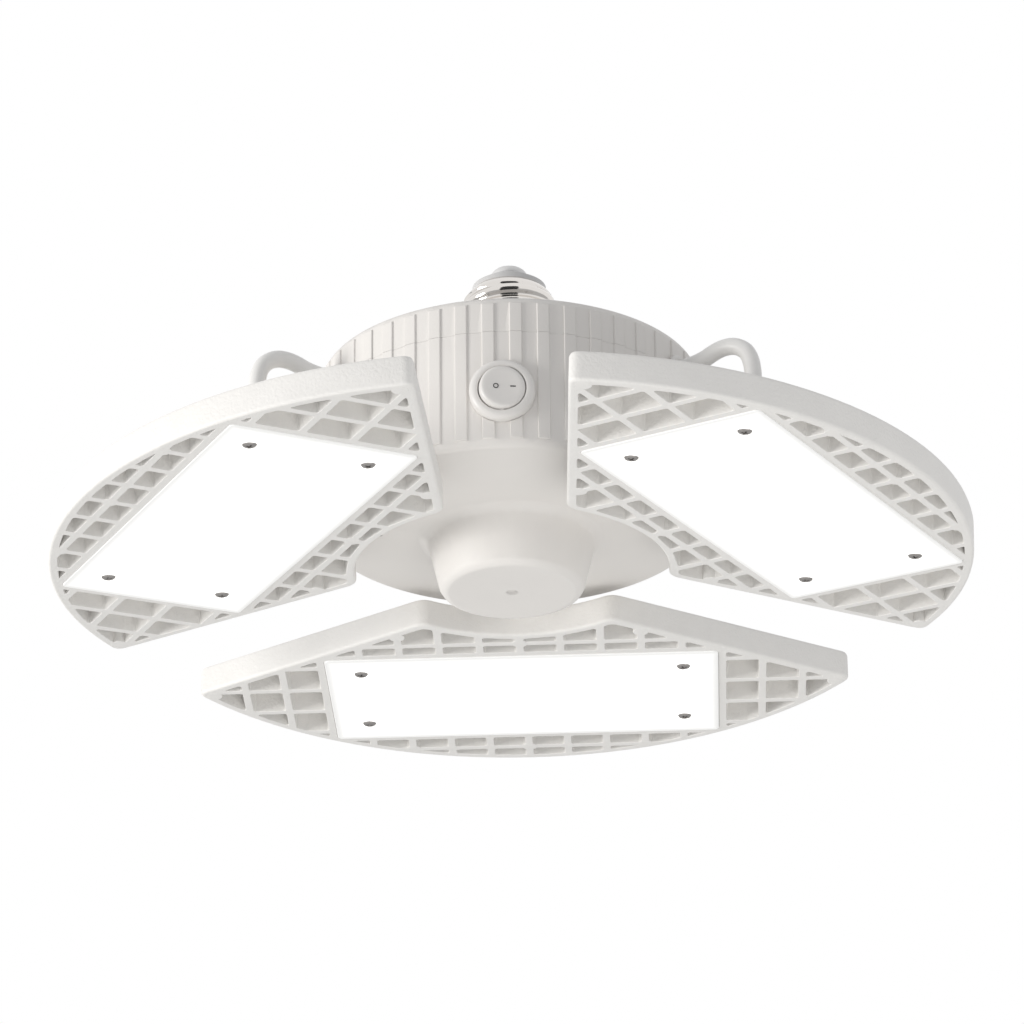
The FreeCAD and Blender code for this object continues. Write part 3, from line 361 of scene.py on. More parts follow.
# %% Bushes in the wall
WALL, SEAM = 54.4, 21.2
BUSH_REACH = WALL + 0.55

for place, azimuth in PLACES.items():
    section = ([(2.5, -2.9), (3.6, -2.9), (3.6, 0.0)] + arc((3.7, 0.6), 0.6, -90, 0, 4)
               + arc((3.4, 0.7), 0.9, 0, 90, 5) + arc((3.1, 1.0), 0.6, 90, 180, 4))
    turn = (Matrix.Rotation(math.radians(azimuth), 4, "Z")
            @ Matrix.Translation((BUSH_REACH * MM, 0, -SEAM * MM))
            @ Matrix.Rotation(math.pi / 2, 4, "Y"))
    bush = dress(piece("wall_bush_" + place, spun(section, 40), turn), "white_rubber")
    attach(bush, "lamp_body")
    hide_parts("grommet_" + place)
print("points in a bush's section:", len(section))

# %% Strain reliefs on the panels
GLAND_X = 42.3

for place, matrix in panels.items():
    foot = spun([(2.5, 0.0), (5.6, 0.0), (5.6, 0.9), (5.3, 1.2), (2.5, 1.2)], 6)
    boot = spun([(2.5, 1.1), (4.0, 1.1), (4.0, 2.6), (3.85, 3.0), (3.85, 3.5), (3.7, 3.9),
                 (3.7, 4.4), (3.5, 4.8)] + arc((3.0, 5.4), 0.6, 0, 90, 4) + [(2.5, 6.0)], 40)
    seat = matrix @ Matrix.Translation((GLAND_X * MM, 0, BACK * MM))
    relief = dress(piece("strain_relief_" + place, merged([foot, boot]), seat,
                         crease=math.radians(30)), "white_rubber")
    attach(relief, "panel_" + place)
    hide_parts("gland_" + place)
print("bushes and strain reliefs:", 2 * len(panels))

# %% [markdown]
# ## The moulded casings
# The CAD pieces have crisp corners, but a moulding never does: the tool is rounded so that
# plastic flows and the part lets go. The shape is right already, so a copy of it is
# softened: doubled points are merged, flat areas are joined into whole faces, and the outer
# edges of the ribs are bevelled. So is the edge of the hub's face. The dimple in the middle of
# that face is a mark of the mould, and it is sunk a little further so that it shows.

# %% Softening a copy of a CAD piece
def copy_of(node):
    """A bmesh of a CAD node with its points merged and its flats joined."""
    bm = bmesh.new()
    bm.from_mesh(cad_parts[node].data)
    bmesh.ops.remove_doubles(bm, verts=bm.verts, dist=3e-6)
    bmesh.ops.dissolve_limit(bm, angle_limit=math.radians(0.6), verts=bm.verts,
                             edges=bm.edges)
    return bm


def crisp(bm, wide):
    """Edges whose two faces meet at more than an angle in degrees."""
    return [edge for edge in bm.edges if len(edge.link_faces) == 2
            and edge.calc_face_angle() > math.radians(wide)]


def soften(bm, edges, width, segments=2):
    """Bevel edges by a width in millimetres."""
    bmesh.ops.bevel(bm, geom=edges, offset=width * MM, offset_type="OFFSET",
                    segments=segments, profile=0.5, affect="EDGES", clamp_overlap=True,
                    material=-1)


def radius_of(point):
    """How far a point is from the lamp's axis, in millimetres."""
    return math.hypot(point.x, point.y) / MM


# %% [markdown]
# The two casings meet at a seam, and the CAD model has a groove there: a small chamfer above
# and one below. In the photograph it is a hair line. So the points of the chamfers are moved
# next to the seam, and the bottom of the groove is moved out to just under the wall.

# %% The seam and the edges of the ribs
LIP, GROOVE_FLOOR = WALL - 0.1, WALL - 0.15
CHAMFER, HAIR = 0.3, 0.04
RIB_FOOT, RIB_BEVEL = 54.7, 0.3


def close_seam(bm, side):
    """Shrink the groove of the seam in the casing above it (side 1) or below it (-1)."""
    for vertex in bm.verts:
        reach, height = radius_of(vertex.co), vertex.co.z / MM + SEAM
        if reach > LIP and abs(height - side * CHAMFER) < 0.06:
            vertex.co.z = (side * HAIR - SEAM) * MM
        elif 53.5 < reach < LIP and abs(height) < 0.03:
            vertex.co.xy *= GROOVE_FLOOR / reach


def rib_edges(bm, side):
    """The outer edges of the ribs, apart from those at the seam."""
    return [edge for edge in crisp(bm, 50)
            if min(radius_of(vertex.co) for vertex in edge.verts) > RIB_FOOT
            and any(abs(vertex.co.z / MM + SEAM - side * HAIR) > 0.06
                    for vertex in edge.verts)]


# %% The lower casing
HUB_LEVEL, HUB_BEVEL = -75.5, 0.4
DIMPLE_SINK, DIMPLE_SHRINK = 0.5, 0.8

bm = copy_of("housing")
close_seam(bm, -1)
soften(bm, rib_edges(bm, -1), RIB_BEVEL)
hub = [edge for edge in crisp(bm, 12)
       if all(abs(vertex.co.z / MM - HUB_LEVEL) < 0.05 and 17.5 < radius_of(vertex.co) < 18.6
              for vertex in edge.verts)]
soften(bm, hub, HUB_BEVEL, 3)
dimple = [vertex for vertex in bm.verts if radius_of(vertex.co) < 2.2
          and 0.2 < vertex.co.z / MM - HUB_LEVEL < 0.6]
bmesh.ops.translate(bm, vec=(0, 0, DIMPLE_SINK * MM), verts=dimple)
bmesh.ops.scale(bm, vec=(DIMPLE_SHRINK, DIMPLE_SHRINK, 1), verts=dimple)
casing = dress(piece("lower_casing", bm), "body_plastic")
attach(casing, "lamp_body")
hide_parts("housing")
print("edges round the hub's face:", len(hub), "points in its dimple:", len(dimple))

# %% The upper casing
bm = copy_of("top_cap")
close_seam(bm, 1)
soften(bm, rib_edges(bm, 1), RIB_BEVEL)
cap = dress(piece("upper_casing", bm), "body_plastic")
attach(cap, "lamp_body")
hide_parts("top_cap")
print("casings softened:", len(casing.data.polygons), len(cap.data.polygons), "faces")

# %% [markdown]
# ## The panel frames
# A panel is one moulding: a back plate, a rim, and a lattice of thin ribs that keeps the wide
# sheet flat. Its outline has four sides: an arc round the body, two straight sides, and a wide
# outer arc. The same outline, moved inwards a little and placed at another height, gives each
# turn of the rounded rim, and the rings are then joined with bridge_loops.

# %% The outline of a panel
SLOPE = math.radians(32.2)
APEX, INNER, OUTER = -18.5, (-36.8, 44.6), (-22.5, 117.0)


def bend(start, corner, end, steps=5):
    """Points of a bend from start to end, drawn towards a corner."""
    return [start.lerp(corner, n / steps).lerp(corner.lerp(end, n / steps), n / steps)
            for n in range(steps + 1)]


def outline(inset, heel=3.1, tip=2.9):
    """The edge of a panel, moved inwards, as points in millimetres."""
    apex = Vector((APEX + inset / math.cos(SLOPE), 0))
    along = Vector((math.sin(SLOPE), math.cos(SLOPE)))
    turns = []
    for (centre, radius), round_off, way in ((INNER, heel, 1), (OUTER, tip, -1)):
        radius += way * inset
        gap = apex.x - centre
        run = -gap * along.x + math.sqrt((gap * along.x) ** 2 - gap ** 2 + radius ** 2)
        corner = apex + along * run
        wide = math.asin(corner.y / radius) - round_off / radius
        on_arc = [Vector((centre + radius * math.cos(wide * n / 24),
                          radius * math.sin(wide * n / 24))) for n in range(24)]
        last = Vector((centre + radius * math.cos(wide), radius * math.sin(wide)))
        turns.append(on_arc + bend(last, corner, corner + way * along * round_off))
    half = turns[0] + turns[1][::-1]
    return half + [Vector((point.x, -point.y)) for point in half[-2:0:-1]]


def ring_of(bm, points, height):
    """A closed ring of edges at one height."""
    corners = [bm.verts.new((point.x * MM, point.y * MM, height * MM)) for point in points]
    return [bm.edges.new(pair) for pair in zip(corners, corners[1:] + corners[:1])]


print("corner of the outline:", [round(c, 2) for c in outline(0)[30]])

# %% [markdown]
# The lattice starts as one flat face inside the rim. Planes cut it along both sides of every
# rib, and the strips that are the ribs are deleted, so the cells are left. In the tips the
# ribs have another pitch than beside the lens, so each zone is cut on its own. Only one half
# is made here, because the panel is symmetrical and mirror gives the other half.

# %% The zones of a panel and their ribs
HALF_RIB, RIM, STEP = 0.9, 2.4, 11.8
NEAR_END, AWAY_START, TIP_START = 19.35, 78.45, 59.9
BESIDE_LENS = [STEP * n for n in range(-4, 1)]
RIBS = {
    "tip": ((27.2, 42.0, 56.8, 71.6), (-82.6, -70.8)),
    "near": ((13.5,), BESIDE_LENS),
    "away": ((85.8,), BESIDE_LENS),
}


def zone(face):
    """Where a face lies: in a tip, beside the lens towards the body or away, or under it."""
    middle = face.calc_center_median() / MM
    if abs(middle.y) > TIP_START:
        return "tip"
    return "near" if middle.x < NEAR_END else "away" if middle.x > AWAY_START else "lens"


def is_rib(face):
    """Whether a face is part of a rib, or lies where the lens is."""
    middle = face.calc_center_median() / MM
    lines = RIBS.get(zone(face))
    return lines is None or any(abs(middle[axis] - line) < HALF_RIB
                                for axis in (0, 1) for line in lines[axis])


print("lines of ribs beside the lens:", [round(line, 1) for line in BESIDE_LENS])

# %% Cutting the cells
LID = 0.05
SMALLEST_CELL = 1.6 * MM ** 2


def split(bm, where, axis, faces=None):
    """Cut faces with a plane across X or Y."""
    faces = bm.faces[:] if faces is None else faces
    parts = set(faces) | {e for f in faces for e in f.edges} | {v for f in faces for v in f.verts}
    normal = Vector((1, 0, 0)) if axis == 0 else Vector((0, 1, 0))
    bmesh.ops.bisect_plane(bm, geom=list(parts), plane_co=normal * where * MM,
                           plane_no=normal, dist=1e-8)


bm = bmesh.new()
bmesh.ops.edgeloop_fill(bm, edges=ring_of(bm, outline(RIM, 2.0, 1.5), FACE - LID))
for where in (-TIP_START, 0):
    split(bm, where, 1)
bmesh.ops.delete(bm, context="FACES",
                 geom=[face for face in bm.faces if face.calc_center_median().y > 0])
for where in (NEAR_END, AWAY_START):
    split(bm, where, 0, [face for face in bm.faces if zone(face) != "tip"])
for name, lines in RIBS.items():
    for axis in (0, 1):
        for line in lines[axis]:
            for side in (-HALF_RIB, HALF_RIB):
                split(bm, line + side, axis, [face for face in bm.faces if zone(face) == name])
bmesh.ops.delete(bm, geom=[face for face in bm.faces if is_rib(face)
                           or face.calc_area() < SMALLEST_CELL], context="FACES")
shared = [edge for edge in bm.edges if len(edge.link_faces) == 2]
bmesh.ops.dissolve_edges(bm, edges=shared, use_verts=True)
print("cells:", len(bm.faces))

# %% [markdown]
# A cell has round corners, and its foot and its rim are round too, so the part leaves its
# mould. Bevelling a corner point of a flat face rounds that corner. Then each cell is inset
# again and again while it sinks: shallow turns round the rib's top, one long draught wall,
# and shallow turns at the foot. With a lid on it, such a pocket is a solid that can be taken
# away from the panel. It starts a little below the underside, so the two share no plane.

# %% Sinking the cells
SINK = ((0.001, LID), (0.05, 0.01), (0.09, 0.06), (0.08, 0.13),
        (0.22, 5.6), (0.06, 0.35), (0.13, 0.30), (0.22, 0.25))


def round_corners(bm, face, radius):
    """Round the corners of a lone face, first dropping stray points on its curved side."""
    stray = [loop.vert for loop in face.loops if abs(loop.calc_angle() - math.pi) < 0.2
             and min(edge.calc_length() for edge in loop.vert.link_edges) < 2.2 * MM]
    bmesh.ops.dissolve_verts(bm, verts=stray[:max(0, len(face.verts) - 3)])
    face.normal_update()
    reach = min(1.0, 2 * face.calc_area() / face.calc_perimeter() / (1.25 * MM))
    sharp = [(loop.vert, loop.calc_angle()) for loop in face.loops
             if loop.calc_angle() < math.radians(150)]
    for vertex, angle in sharp:
        room = 0.45 * min(edge.calc_length() for edge in vertex.link_edges)
        cut = min(room, reach * radius / math.tan(angle / 2) * MM)
        made = bmesh.ops.bevel(bm, geom=[vertex], affect="VERTICES", segments=4, profile=0.5,
                               offset=cut, offset_type="OFFSET", material=-1)
        face = made["verts"][0].link_faces[0]
    face.normal_update()
    if face.normal.z > 0:
        face.normal_flip()
    return face


def sink(bm, face, steps):
    """Sink a face by steps of (inwards, deeper) in millimetres; a small one tapers less."""
    reach = min(1.0, 2 * face.calc_area() / face.calc_perimeter() / (1.35 * MM))
    for inwards, deeper in steps:
        bmesh.ops.inset_individual(bm, faces=[face], thickness=inwards * reach * MM,
                                   depth=-deeper * MM, use_even_offset=False)


def lidded(bm):
    """Close the open loops, so that a sunk shape is a solid."""
    bmesh.ops.holes_fill(bm, edges=[edge for edge in bm.edges if edge.is_boundary], sides=0)


bmesh.ops.remove_doubles(bm, verts=bm.verts, dist=0.4 * MM)
for face in bm.faces[:]:
    round_corners(bm, face, 1.0)
bmesh.ops.remove_doubles(bm, verts=bm.verts, dist=0.08 * MM)
for face in bm.faces[:]:
    sink(bm, face, SINK)
lidded(bm)
bmesh.ops.mirror(bm, geom=bm.verts[:] + bm.edges[:] + bm.faces[:], axis="Y", merge_dist=-1)
pockets = bm
print("faces in the pockets:", len(pockets.faces))

# %% [markdown]
# The seat of the lens is one more pocket, in two steps. The first takes the lens, and a ledge
# round it carries the lens's edge. The second holds the board with its diodes.

# %% The seat of the lens
LENS_WIDE, LENS_LONG, LENS_THICK = 54.9, 115.6, 2.0
GAP, SEAT_CORNER = 0.3, 1.75
SEAT_STEPS = ((0.01, 1.7 + LID), (2.15, 0.001), (0.01, 5.0))


def sheet(wide, long):
    """A flat face round the origin, with its size in metres."""
    bm = bmesh.new()
    bmesh.ops.create_grid(bm, x_segments=1, y_segments=1, size=0.5)
    bmesh.ops.scale(bm, vec=(wide, long, 1), verts=bm.verts)
    return bm


bm = sheet((LENS_WIDE + GAP) * MM, (LENS_LONG + GAP) * MM)
bmesh.ops.translate(bm, vec=(LENS_X * MM, 0, (FACE - LID) * MM), verts=bm.verts)
seat = round_corners(bm, bm.faces[:][0], SEAT_CORNER)
sink(bm, seat, SEAT_STEPS)
lidded(bm)
pockets = merged([pockets, bm])
bmesh.ops.recalc_face_normals(pockets, faces=pockets.faces)
print("faces with the seat of the lens:", len(pockets.faces))

# %% [markdown]
# The blank of a panel is a stack of rings from the underside to the back, closed at both
# ends. A Boolean modifier takes the pockets away from it, and is applied at once by reading
# the evaluated mesh. Round pads stand where two ribs cross: an ejector pin of the mould
# pushes there. The posts inside take the screws of the lens.

# %% Carving
def carved(bm, cutter):
    """The first bmesh with the second taken away."""
    body, tool = piece("body", bm, weigh=False), piece("tool", cutter, weigh=False)
    change = body.modifiers.new("carve", "BOOLEAN")
    change.operation, change.object, change.solver = "DIFFERENCE", tool, "EXACT"
    mesh = bpy.data.meshes.new_from_object(
        body.evaluated_get(bpy.context.evaluated_depsgraph_get()))
    for spent in (body, tool):
        bpy.data.objects.remove(spent)
    made = bmesh.new()
    made.from_mesh(mesh)
    return made


# %% The blank, the pockets and the pads
RINGS = ((0.9, FACE), (0.45, -10.48), (0.13, -10.18), (0.0, -9.65), (0.0, -3.0),
         (0.3, -2.25), (1.1, BACK))

bm = bmesh.new()
stack = [ring_of(bm, outline(inset), height) for inset, height in RINGS]
for lower, upper in zip(stack, stack[1:]):
    bmesh.ops.bridge_loops(bm, edges=lower + upper)
for ends in (stack[0], stack[-1]):
    bmesh.ops.edgeloop_fill(bm, edges=ends)
bmesh.ops.recalc_face_normals(bm, faces=bm.faces)
bm = carved(bm, pockets)
print("open edges left:", len([edge for edge in bm.edges if not edge.is_manifold]))


def rod(radius, low, high, steps=36, round_off=0.0):
    """A round bar that stands on Z; its lower edge can be rounded."""
    foot = arc((radius - round_off, low + round_off), round_off, -90, 0, 3) if round_off else [
        (radius, low)]
    return spun([(0.0, low)] + foot + [(radius, high), (0.0, high)], steps)


def rods(spots, *sizes):
    """Equal round bars at spots (x, y) in millimetres, as one bmesh."""
    bars = []
    for x, y in spots:
        bars.append(rod(*sizes))
        bmesh.ops.translate(bars[-1], vec=Vector((x, y, 0)) * MM, verts=bars[-1].verts)
    return merged(bars)


PADS = [(13.5, 0), (85.8, 0), (44.1, -92.2), (44.1, 92.2)] + [
    (x, side * 3 * STEP) for x in (7.6, 85.8) for side in (-1, 1)]
POSTS = [(LENS_X + x, y) for x, y in LENS_SCREWS]
INSIDE = -3.5
moulding = merged([bm, rods(PADS, 2.3, FACE - 0.04, INSIDE, 28, 0.2),
                   rods(POSTS, 2.7, -8.9, INSIDE, 28, 0.2)])
for place, matrix in panels.items():
    shell = dress(piece("panel_shell_" + place, moulding.copy(), matrix), "panel_coat")
    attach(shell, "panel_" + place)
    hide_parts("panel_frame_" + place)
moulding.free()
print("faces in a panel shell:", len(shell.data.polygons))

# %% [markdown]
# ## Screws
# Pan-head screws hold the lenses, the arms and the upper casing. A head is a low dome, and its
# cross recess is what a driver grips. The dome is spun, and the cross is two tapered bars
# carved out of it.

# %% A pan head with a cross recess
def block(*size):
    """A box round the origin, with its size in millimetres."""
    bm = bmesh.new()
    bmesh.ops.create_cube(bm, size=1.0)
    bmesh.ops.scale(bm, vec=Vector(size) * MM, verts=bm.verts)
    return bm


def tapered_bar(length, width, depth, top):
    """A bar that narrows downwards, its top at a height."""
    bm = block(length, width, depth)
    low = [vertex for vertex in bm.verts if vertex.co.z < 0]
    bmesh.ops.scale(bm, vec=(0.45, 0.6, 1), verts=low)
    bmesh.ops.translate(bm, vec=(0, 0, (top - depth / 2) * MM), verts=bm.verts)
    return bm


def pan_head(radius, height, shank_radius, shank):
    """A screw standing on z = 0, head up, with its shank below."""
    dome = arc((radius - 0.35, 0.35), 0.35, -90, 0, 3)
    crown = [(radius * 0.86, height * 0.74), (radius * 0.62, height * 0.93),
             (radius * 0.3, height), (0.0, height)]
    head = spun([(0.0, -shank), (shank_radius * 0.6, -shank),
                 (shank_radius, -shank + 0.6), (shank_radius, 0.0)] + dome + crown, 32)
    slot, depth, top = radius * 1.1, height * 1.1, height + 0.25
    head = carved(head, tapered_bar(slot, 0.5, depth, top))
    return carved(head, tapered_bar(0.5, slot, depth, top))


def set_of_screws(name, spots, sizes, down, matrix):
    """Equal screws at spots (x, y, z) in millimetres; down turns their heads to -Z."""
    flip = Matrix.Rotation(math.pi, 4, "X") if down else Matrix.Identity(4)
    screws = []
    for index, spot in enumerate(spots):
        bm = pan_head(*sizes)
        twist = Matrix.Rotation(0.9 * index + 0.4, 4, "Z")
        where = Matrix.Translation(Vector(spot) * MM) @ flip @ twist
        bmesh.ops.transform(bm, matrix=where, verts=bm.verts)
        screws.append(bm)
    return dress(piece(name, merged(screws), matrix), "screw_steel")


# %% The screws
LENS_SPOTS = [(x, y, -10.1) for x, y in POSTS]
ARM_SPOTS = [(13.5, 0, -0.75), (21.4, -6.5, -0.75), (21.4, 6.5, -0.75)]
CAP_SPOTS = [(45.5 * math.cos(math.radians(a)), 45.5 * math.sin(math.radians(a)), -10.2)
             for a in (45, 135, 225, 315)]
LENS_SCREW, ARM_SCREW = (2.1, 1.0, 1.25, 5.0), (2.5, 1.2, 1.25, 5.6)
CAP_SCREW = (2.9, 2.0, 1.5, 20.0)

for place, matrix in panels.items():
    held = set_of_screws("lens_screw_set_" + place, LENS_SPOTS, LENS_SCREW, True, matrix)
    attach(held, "panel_" + place)
    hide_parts("lens_screws_" + place)
    held = set_of_screws("arm_screw_set_" + place, ARM_SPOTS, ARM_SCREW, False, matrix)
    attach(held, "panel_" + place)
    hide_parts("arm_screws_" + place)
held = set_of_screws("cap_screw_set", CAP_SPOTS, CAP_SCREW, False, Matrix.Identity(4))
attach(held, "lamp_body")
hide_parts("cap_screws")
print("screw sets:", 2 * len(panels) + 1)

# %% [markdown]
# ## The lenses
# A lens is a plate with round corners and a soft front edge, and four round seats for its
# screws. It starts as a cube that is scaled to the plate. Its four upright edges are
# bevelled wide, the front edge a little, and the seats and holes are carved.

# %% The three lenses
SCREW_SEAT, SCREW_HOLE = (2.5, -3.0, -0.2), (1.4, -2.0, 3.0)
LENS_CORNER, LENS_EDGE, LENS_Z = 1.6, 0.35, -9.9

for place, matrix in panels.items():
    bm = block(LENS_WIDE, LENS_LONG, LENS_THICK)
    corners = [edge for edge in bm.edges
               if abs(edge.verts[0].co.z - edge.verts[1].co.z) > MM]
    soften(bm, corners, LENS_CORNER, 6)
    front = [edge for edge in bm.edges
             if all(vertex.co.z < -0.99 * MM for vertex in edge.verts)]
    soften(bm, front, LENS_EDGE, 3)
    for sizes in (SCREW_SEAT, SCREW_HOLE):
        bm = carved(bm, rods(LENS_SCREWS, *sizes))
    across = bm.loops.layers.uv.new("across")
    for face in bm.faces:
        for loop in face.loops:
            loop[across].uv = (2 * loop.vert.co.x / (LENS_WIDE * MM),
                               2 * loop.vert.co.y / (LENS_LONG * MM))
    seat = matrix @ Matrix.Translation((LENS_X * MM, 0, LENS_Z * MM))
    lens = dress(piece("glowing_lens_" + place, bm, seat, crease=math.radians(30)),
                 "opal_lens")
    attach(lens, "panel_" + place)
    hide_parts("lens_" + place)
print("lens size in millimetres:", LENS_WIDE, LENS_LONG, LENS_THICK)

# %% [markdown]
# ## The screw shell
# A lamp base has a knuckle thread: a soft wave rolled into thin metal. The wave of one pitch
# is spun while it climbs, which sweeps a helix, and each turn starts where the last one ends.
# Both ends are cut level with a plane, and the cut loops run on into the plain rim and the
# shoulder.

# %% The rolled thread
PITCH, CREST, ROOT, TURNS = 3.62, 13.08, 12.25, 6


def wave(z):
    """The radius of the rolled wall at a height within one pitch."""
    return (CREST + ROOT) / 2 + (CREST - ROOT) / 2 * math.cos(math.tau * z / PITCH)


def thread(low, high, steps=72, rows=12):
    """The rolled wall between two levels."""
    bm = bmesh.new()
    heights = [PITCH * n / rows for n in range(rows + 1)]
    points = [bm.verts.new((wave(z) * MM, 0, (z + low - PITCH) * MM)) for z in heights]
    edges = [bm.edges.new(pair) for pair in zip(points, points[1:])]
    bmesh.ops.spin(bm, geom=points + edges, cent=(0, 0, 0), axis=(0, 0, 1),
                   angle=math.tau * TURNS, steps=steps * TURNS,
                   dvec=(0, 0, PITCH / steps * MM), use_merge=False)
    bmesh.ops.remove_doubles(bm, verts=bm.verts, dist=5e-6)
    for height, up in ((low, 1), (high, -1)):
        bmesh.ops.bisect_plane(bm, geom=bm.verts[:] + bm.edges[:] + bm.faces[:],
                               plane_co=(0, 0, height * MM), plane_no=(0, 0, -up),
                               clear_outer=True)
    return bm


LOW_CUT, HIGH_CUT, SHEET = 0.6, 16.2, 0.3
FOOT = [(CREST, 0.0)]
SHOULDER = [(12.35, 16.6), (11.7, 17.5), (10.7, 18.65), (9.75, 19.8), (9.0, 20.7),
            (8.7, 20.95), (8.45, 20.95), (8.3, 20.7), (8.3, 20.3)]

bm = thread(LOW_CUT, HIGH_CUT)
for height, section in ((LOW_CUT, FOOT), (HIGH_CUT, SHOULDER)):
    rim = [edge for edge in bm.edges if edge.is_boundary
           and all(abs(v.co.z - height * MM) < 0.02 * MM for v in edge.verts)]
    for radius, z in section:
        grown = bmesh.ops.extrude_edge_only(bm, edges=rim)["geom"]
        rim = [item for item in grown if isinstance(item, bmesh.types.BMEdge)]
        for vertex in {v for edge in rim for v in edge.verts}:
            flat = vertex.co.xy.normalized() * radius * MM
            vertex.co = (flat.x, flat.y, z * MM)
bmesh.ops.recalc_face_normals(bm, faces=bm.faces)
bmesh.ops.solidify(bm, geom=bm.faces[:], thickness=-SHEET * MM)
shell = dress(piece("threaded_shell", bm, crease=math.radians(60)), "shell_metal")
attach(shell, "lamp_body")
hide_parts("screw_shell")
print("threaded shell:", len(shell.data.polygons), "faces")

# %% The insulator and the contact
section = ([(2.2, 9.1), (10.5, 9.1), (10.7, 9.3), (10.7, 20.45), (8.15, 20.45), (8.15, 21.4)]
           + arc((6.85, 21.4), 1.3, 0, 60, 4)
           + [(6.3, 23.1)] + arc((5.3, 23.0), 0.6, 45, 90, 3) + [(2.2, 23.6)])
insulator = dress(piece("glass_insulator", spun(section, 56)), "insulator")
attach(insulator, "lamp_body")
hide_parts("base_insulator")
section = [(0.0, 21.1), (2.1, 21.1), (2.1, 23.62), (5.2, 23.62), (5.42, 23.8), (5.42, 24.2),
           (5.25, 24.8), (4.8, 25.45), (4.1, 26.05), (3.1, 26.55), (2.0, 26.85), (1.0, 26.97),
           (0.0, 27.0)]
contact = dress(piece("tip_contact", spun(section, 48)), "contact_metal")
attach(contact, "lamp_body")
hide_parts("centre_contact")
print("faces of the insulator and the contact:", len(insulator.data.polygons),
      len(contact.data.polygons))

# %% [markdown]
# ## The switch
# A round rocker switch sits in a recess in the wall. Its ring is a soft dome, and the button
# tilts about an upright axle, so one side stands out and catches light. A ring and a bar
# mark off and on: they are thin inlays on the button's hollow face, as generic as the symbols
# on any switch. They are in the switch's slot, and get a dark ink as their finish.

# %% The ring of the switch
FRONT = Matrix.Rotation(math.pi / 2, 4, "X")
SWITCH_DROP, PIVOT = 39.7, 56.0
section = ([(0.0, 43.6), (7.6, 43.6), (7.8, 43.8), (7.8, 53.6), (9.1, 53.6), (9.1, 55.5)]
           + arc((7.4, 55.5), 1.7, 0, 90, 7) + arc((7.05, 56.8), 0.4, 90, 180, 3)
           + [(6.65, 56.0), (6.65, 52.1), (0.0, 52.1)])
ring_place = Matrix.Translation((0, 0, -SWITCH_DROP * MM)) @ FRONT
bezel = dress(piece("switch_ring", spun(section, 72), ring_place), "switch_plastic")
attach(bezel, "lamp_body")
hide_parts("switch_body")
print("faces of the switch's ring:", len(bezel.data.polygons))

# %% The rocker button and its marks
TILT = math.radians(8.0)
rocker_place = (Matrix.Translation((0, -PIVOT * MM, -SWITCH_DROP * MM))
                @ Matrix.Rotation(TILT, 4, "Z") @ FRONT)
section = ([(0.0, -2.6), (5.7, -2.6)] + arc((0, 0), 6.45, -22, 10, 6)
           + arc((5.35, 1.35), 1.0, 5, 80, 6) + [(5.0, 2.36), (4.4, 2.3), (3.4, 2.2),
                                                  (2.2, 2.13), (1.0, 2.1), (0.0, 2.1)])
button = spun(section, 72)
axle = rod(0.8, -7.6, 7.6, 20)
bmesh.ops.rotate(axle, cent=(0, 0, 0), matrix=Matrix.Rotation(math.pi / 2, 3, "X"),
                 verts=axle.verts)
rocker = dress(piece("rocker_button", merged([button, axle]), rocker_place),
               "switch_plastic")
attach(rocker, "rocker")
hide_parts("switch_rocker")

circle = spun([(0.52, 2.10), (0.75, 2.10), (0.75, 2.17), (0.52, 2.17)], 32)
bmesh.ops.translate(circle, vec=(-1.9 * MM, 0, 0.06 * MM), verts=circle.verts)
bar = tapered_bar(1.5, 0.35, 0.1, 2.24)
bmesh.ops.translate(bar, vec=(2.8 * MM, 0, 0), verts=bar.verts)
marks = dress(piece("rocker_marks", merged([circle, bar]), rocker_place), "switch_plastic")
marks.data.materials[0] = finishes["mark_ink"]
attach(marks, "rocker")
print("faces of the button and its marks:", len(rocker.data.polygons),
      len(marks.data.polygons))

# %% [markdown]
# ## What the CAD model already shows well
# Pins, arms, boards and the parts inside have their true shapes, so they are kept and only
# get a finish. Each name starts with words that tell which finish it takes.

# %% Finishes for the kept CAD pieces
KEPT = {
    "switch_terminals": "contact_metal", "driver_board": "circuit_board",
    "driver_screws": "screw_steel", "driver_transformer": "dark_component",
    "driver_capacitors": "dark_component", "driver_coil": "copper_winding",
    "driver_heat_sink": "bare_aluminium", "hinge_pin": "screw_steel",
    "hinge_nut": "screw_steel", "hinge_washers": "white_rubber",
    "panel_arm": "panel_coat", "led_board": "bare_aluminium", "leds": "led_phosphor",
}
shown = [name for name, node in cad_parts.items() if not node.hide_render]
for name in shown:
    kind = next(slot for start, slot in KEPT.items() if name.startswith(start))
    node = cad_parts[name]
    node.data.materials.clear()
    node.data.materials.append(finishes[kind])
print("kept CAD pieces:", len(shown))

# %% [markdown]
# ## Floor, sky and lamps
# The lamp hangs in the air, so the floor lies below the camera and only sends light back up.
# The background is white for the camera and for reflections, while the light that the sky
# gives is softer, so pale surfaces keep their tone.

# %% The floor
floor = piece("floor", sheet(8.0, 8.0), Matrix.Translation((0, 0, -0.9)))
floor.data.materials.append(plain("floor_paint", Base_Color=(0.92, 0.92, 0.91, 1),
                                  Roughness=1.0, Specular_IOR_Level=0.0))
print("level of the floor in metres:", round(floor.data.vertices[0].co.z, 3))

# %% The sky
SKY_LIGHT, SKY_SEEN = 0.56, 1.0

world = bpy.data.worlds.new("sky")
world.use_nodes = True
bpy.context.scene.world = world
nodes, links = world.node_tree.nodes, world.node_tree.links
nodes.clear()


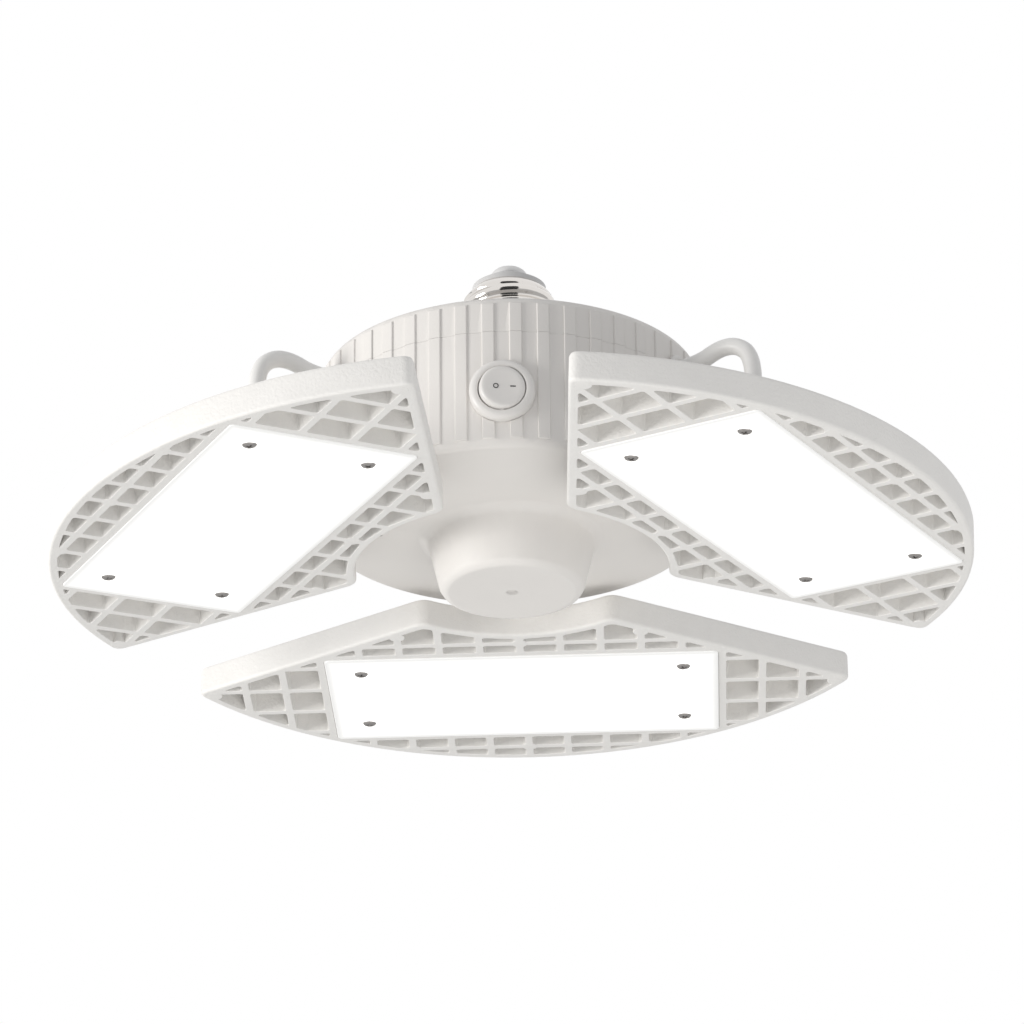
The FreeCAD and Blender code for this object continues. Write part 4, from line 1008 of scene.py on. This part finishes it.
def background(colour, strength):
    """A background node with a colour and a strength."""
    made = nodes.new("ShaderNodeBackground")
    made.inputs["Color"].default_value = (*colour, 1)
    made.inputs["Strength"].default_value = strength
    return made


def larger(first, second):
    """The output of a node that gives the larger of two values."""
    made = nodes.new("ShaderNodeMath")
    made.operation = "MAXIMUM"
    links.new(first, made.inputs[0])
    links.new(second, made.inputs[1])
    return made.outputs[0]


ray = nodes.new("ShaderNodeLightPath")
seen = larger(larger(ray.outputs["Is Camera Ray"], ray.outputs["Is Transmission Ray"]),
              ray.outputs["Is Glossy Ray"])
blend = nodes.new("ShaderNodeMixShader")
links.new(seen, blend.inputs["Fac"])
links.new(background((0.98, 0.985, 1.0), SKY_LIGHT).outputs[0], blend.inputs[1])
links.new(background((1, 1, 1), SKY_SEEN).outputs[0], blend.inputs[2])
links.new(blend.outputs[0], nodes.new("ShaderNodeOutputWorld").inputs["Surface"])
print("nodes in the sky:", len(nodes))

# %% [markdown]
# The key lamp is large and stands to the left, so tones run from bright on the left to soft
# grey on the right. A lamp below, a little to the right, lights the faces that look down.
# Bright metal shows only what it mirrors, so a tall black card behind the camera gives the
# shell its dark bands; only reflections see that card.

# %% The lamps and the card
LAMPS = {
    "key": ((-1.25, -0.50, -0.20), 0.60, 12.0, (1.0, 0.985, 0.965)),
    "under": ((0.36, -0.40, -0.72), 0.80, 2.0, (1.0, 0.99, 0.975)),
}
for name, (spot, size, power, colour) in LAMPS.items():
    light = bpy.data.lights.new(name, "AREA")
    light.shape, light.size, light.energy, light.color = "DISK", size, power, colour
    lamp = bpy.data.objects.new(name, light)
    lamp.location = spot
    lamp.rotation_euler = (AIM - Vector(spot)).to_track_quat("-Z", "Y").to_euler()
    bpy.context.scene.collection.objects.link(lamp)

card = piece("dark_card", sheet(1.3, 5.0), Matrix.Translation((0.12, -1.6, -0.4))
             @ Matrix.Rotation(math.pi / 2, 4, "X"), weigh=False)
card.visible_camera = card.visible_diffuse = card.visible_shadow = False
card.data.materials.append(plain("card_black", Base_Color=(0.02, 0.02, 0.02, 1)))
bpy.context.scene.view_settings.view_transform = "Standard"
print("lamps:", ", ".join(LAMPS))
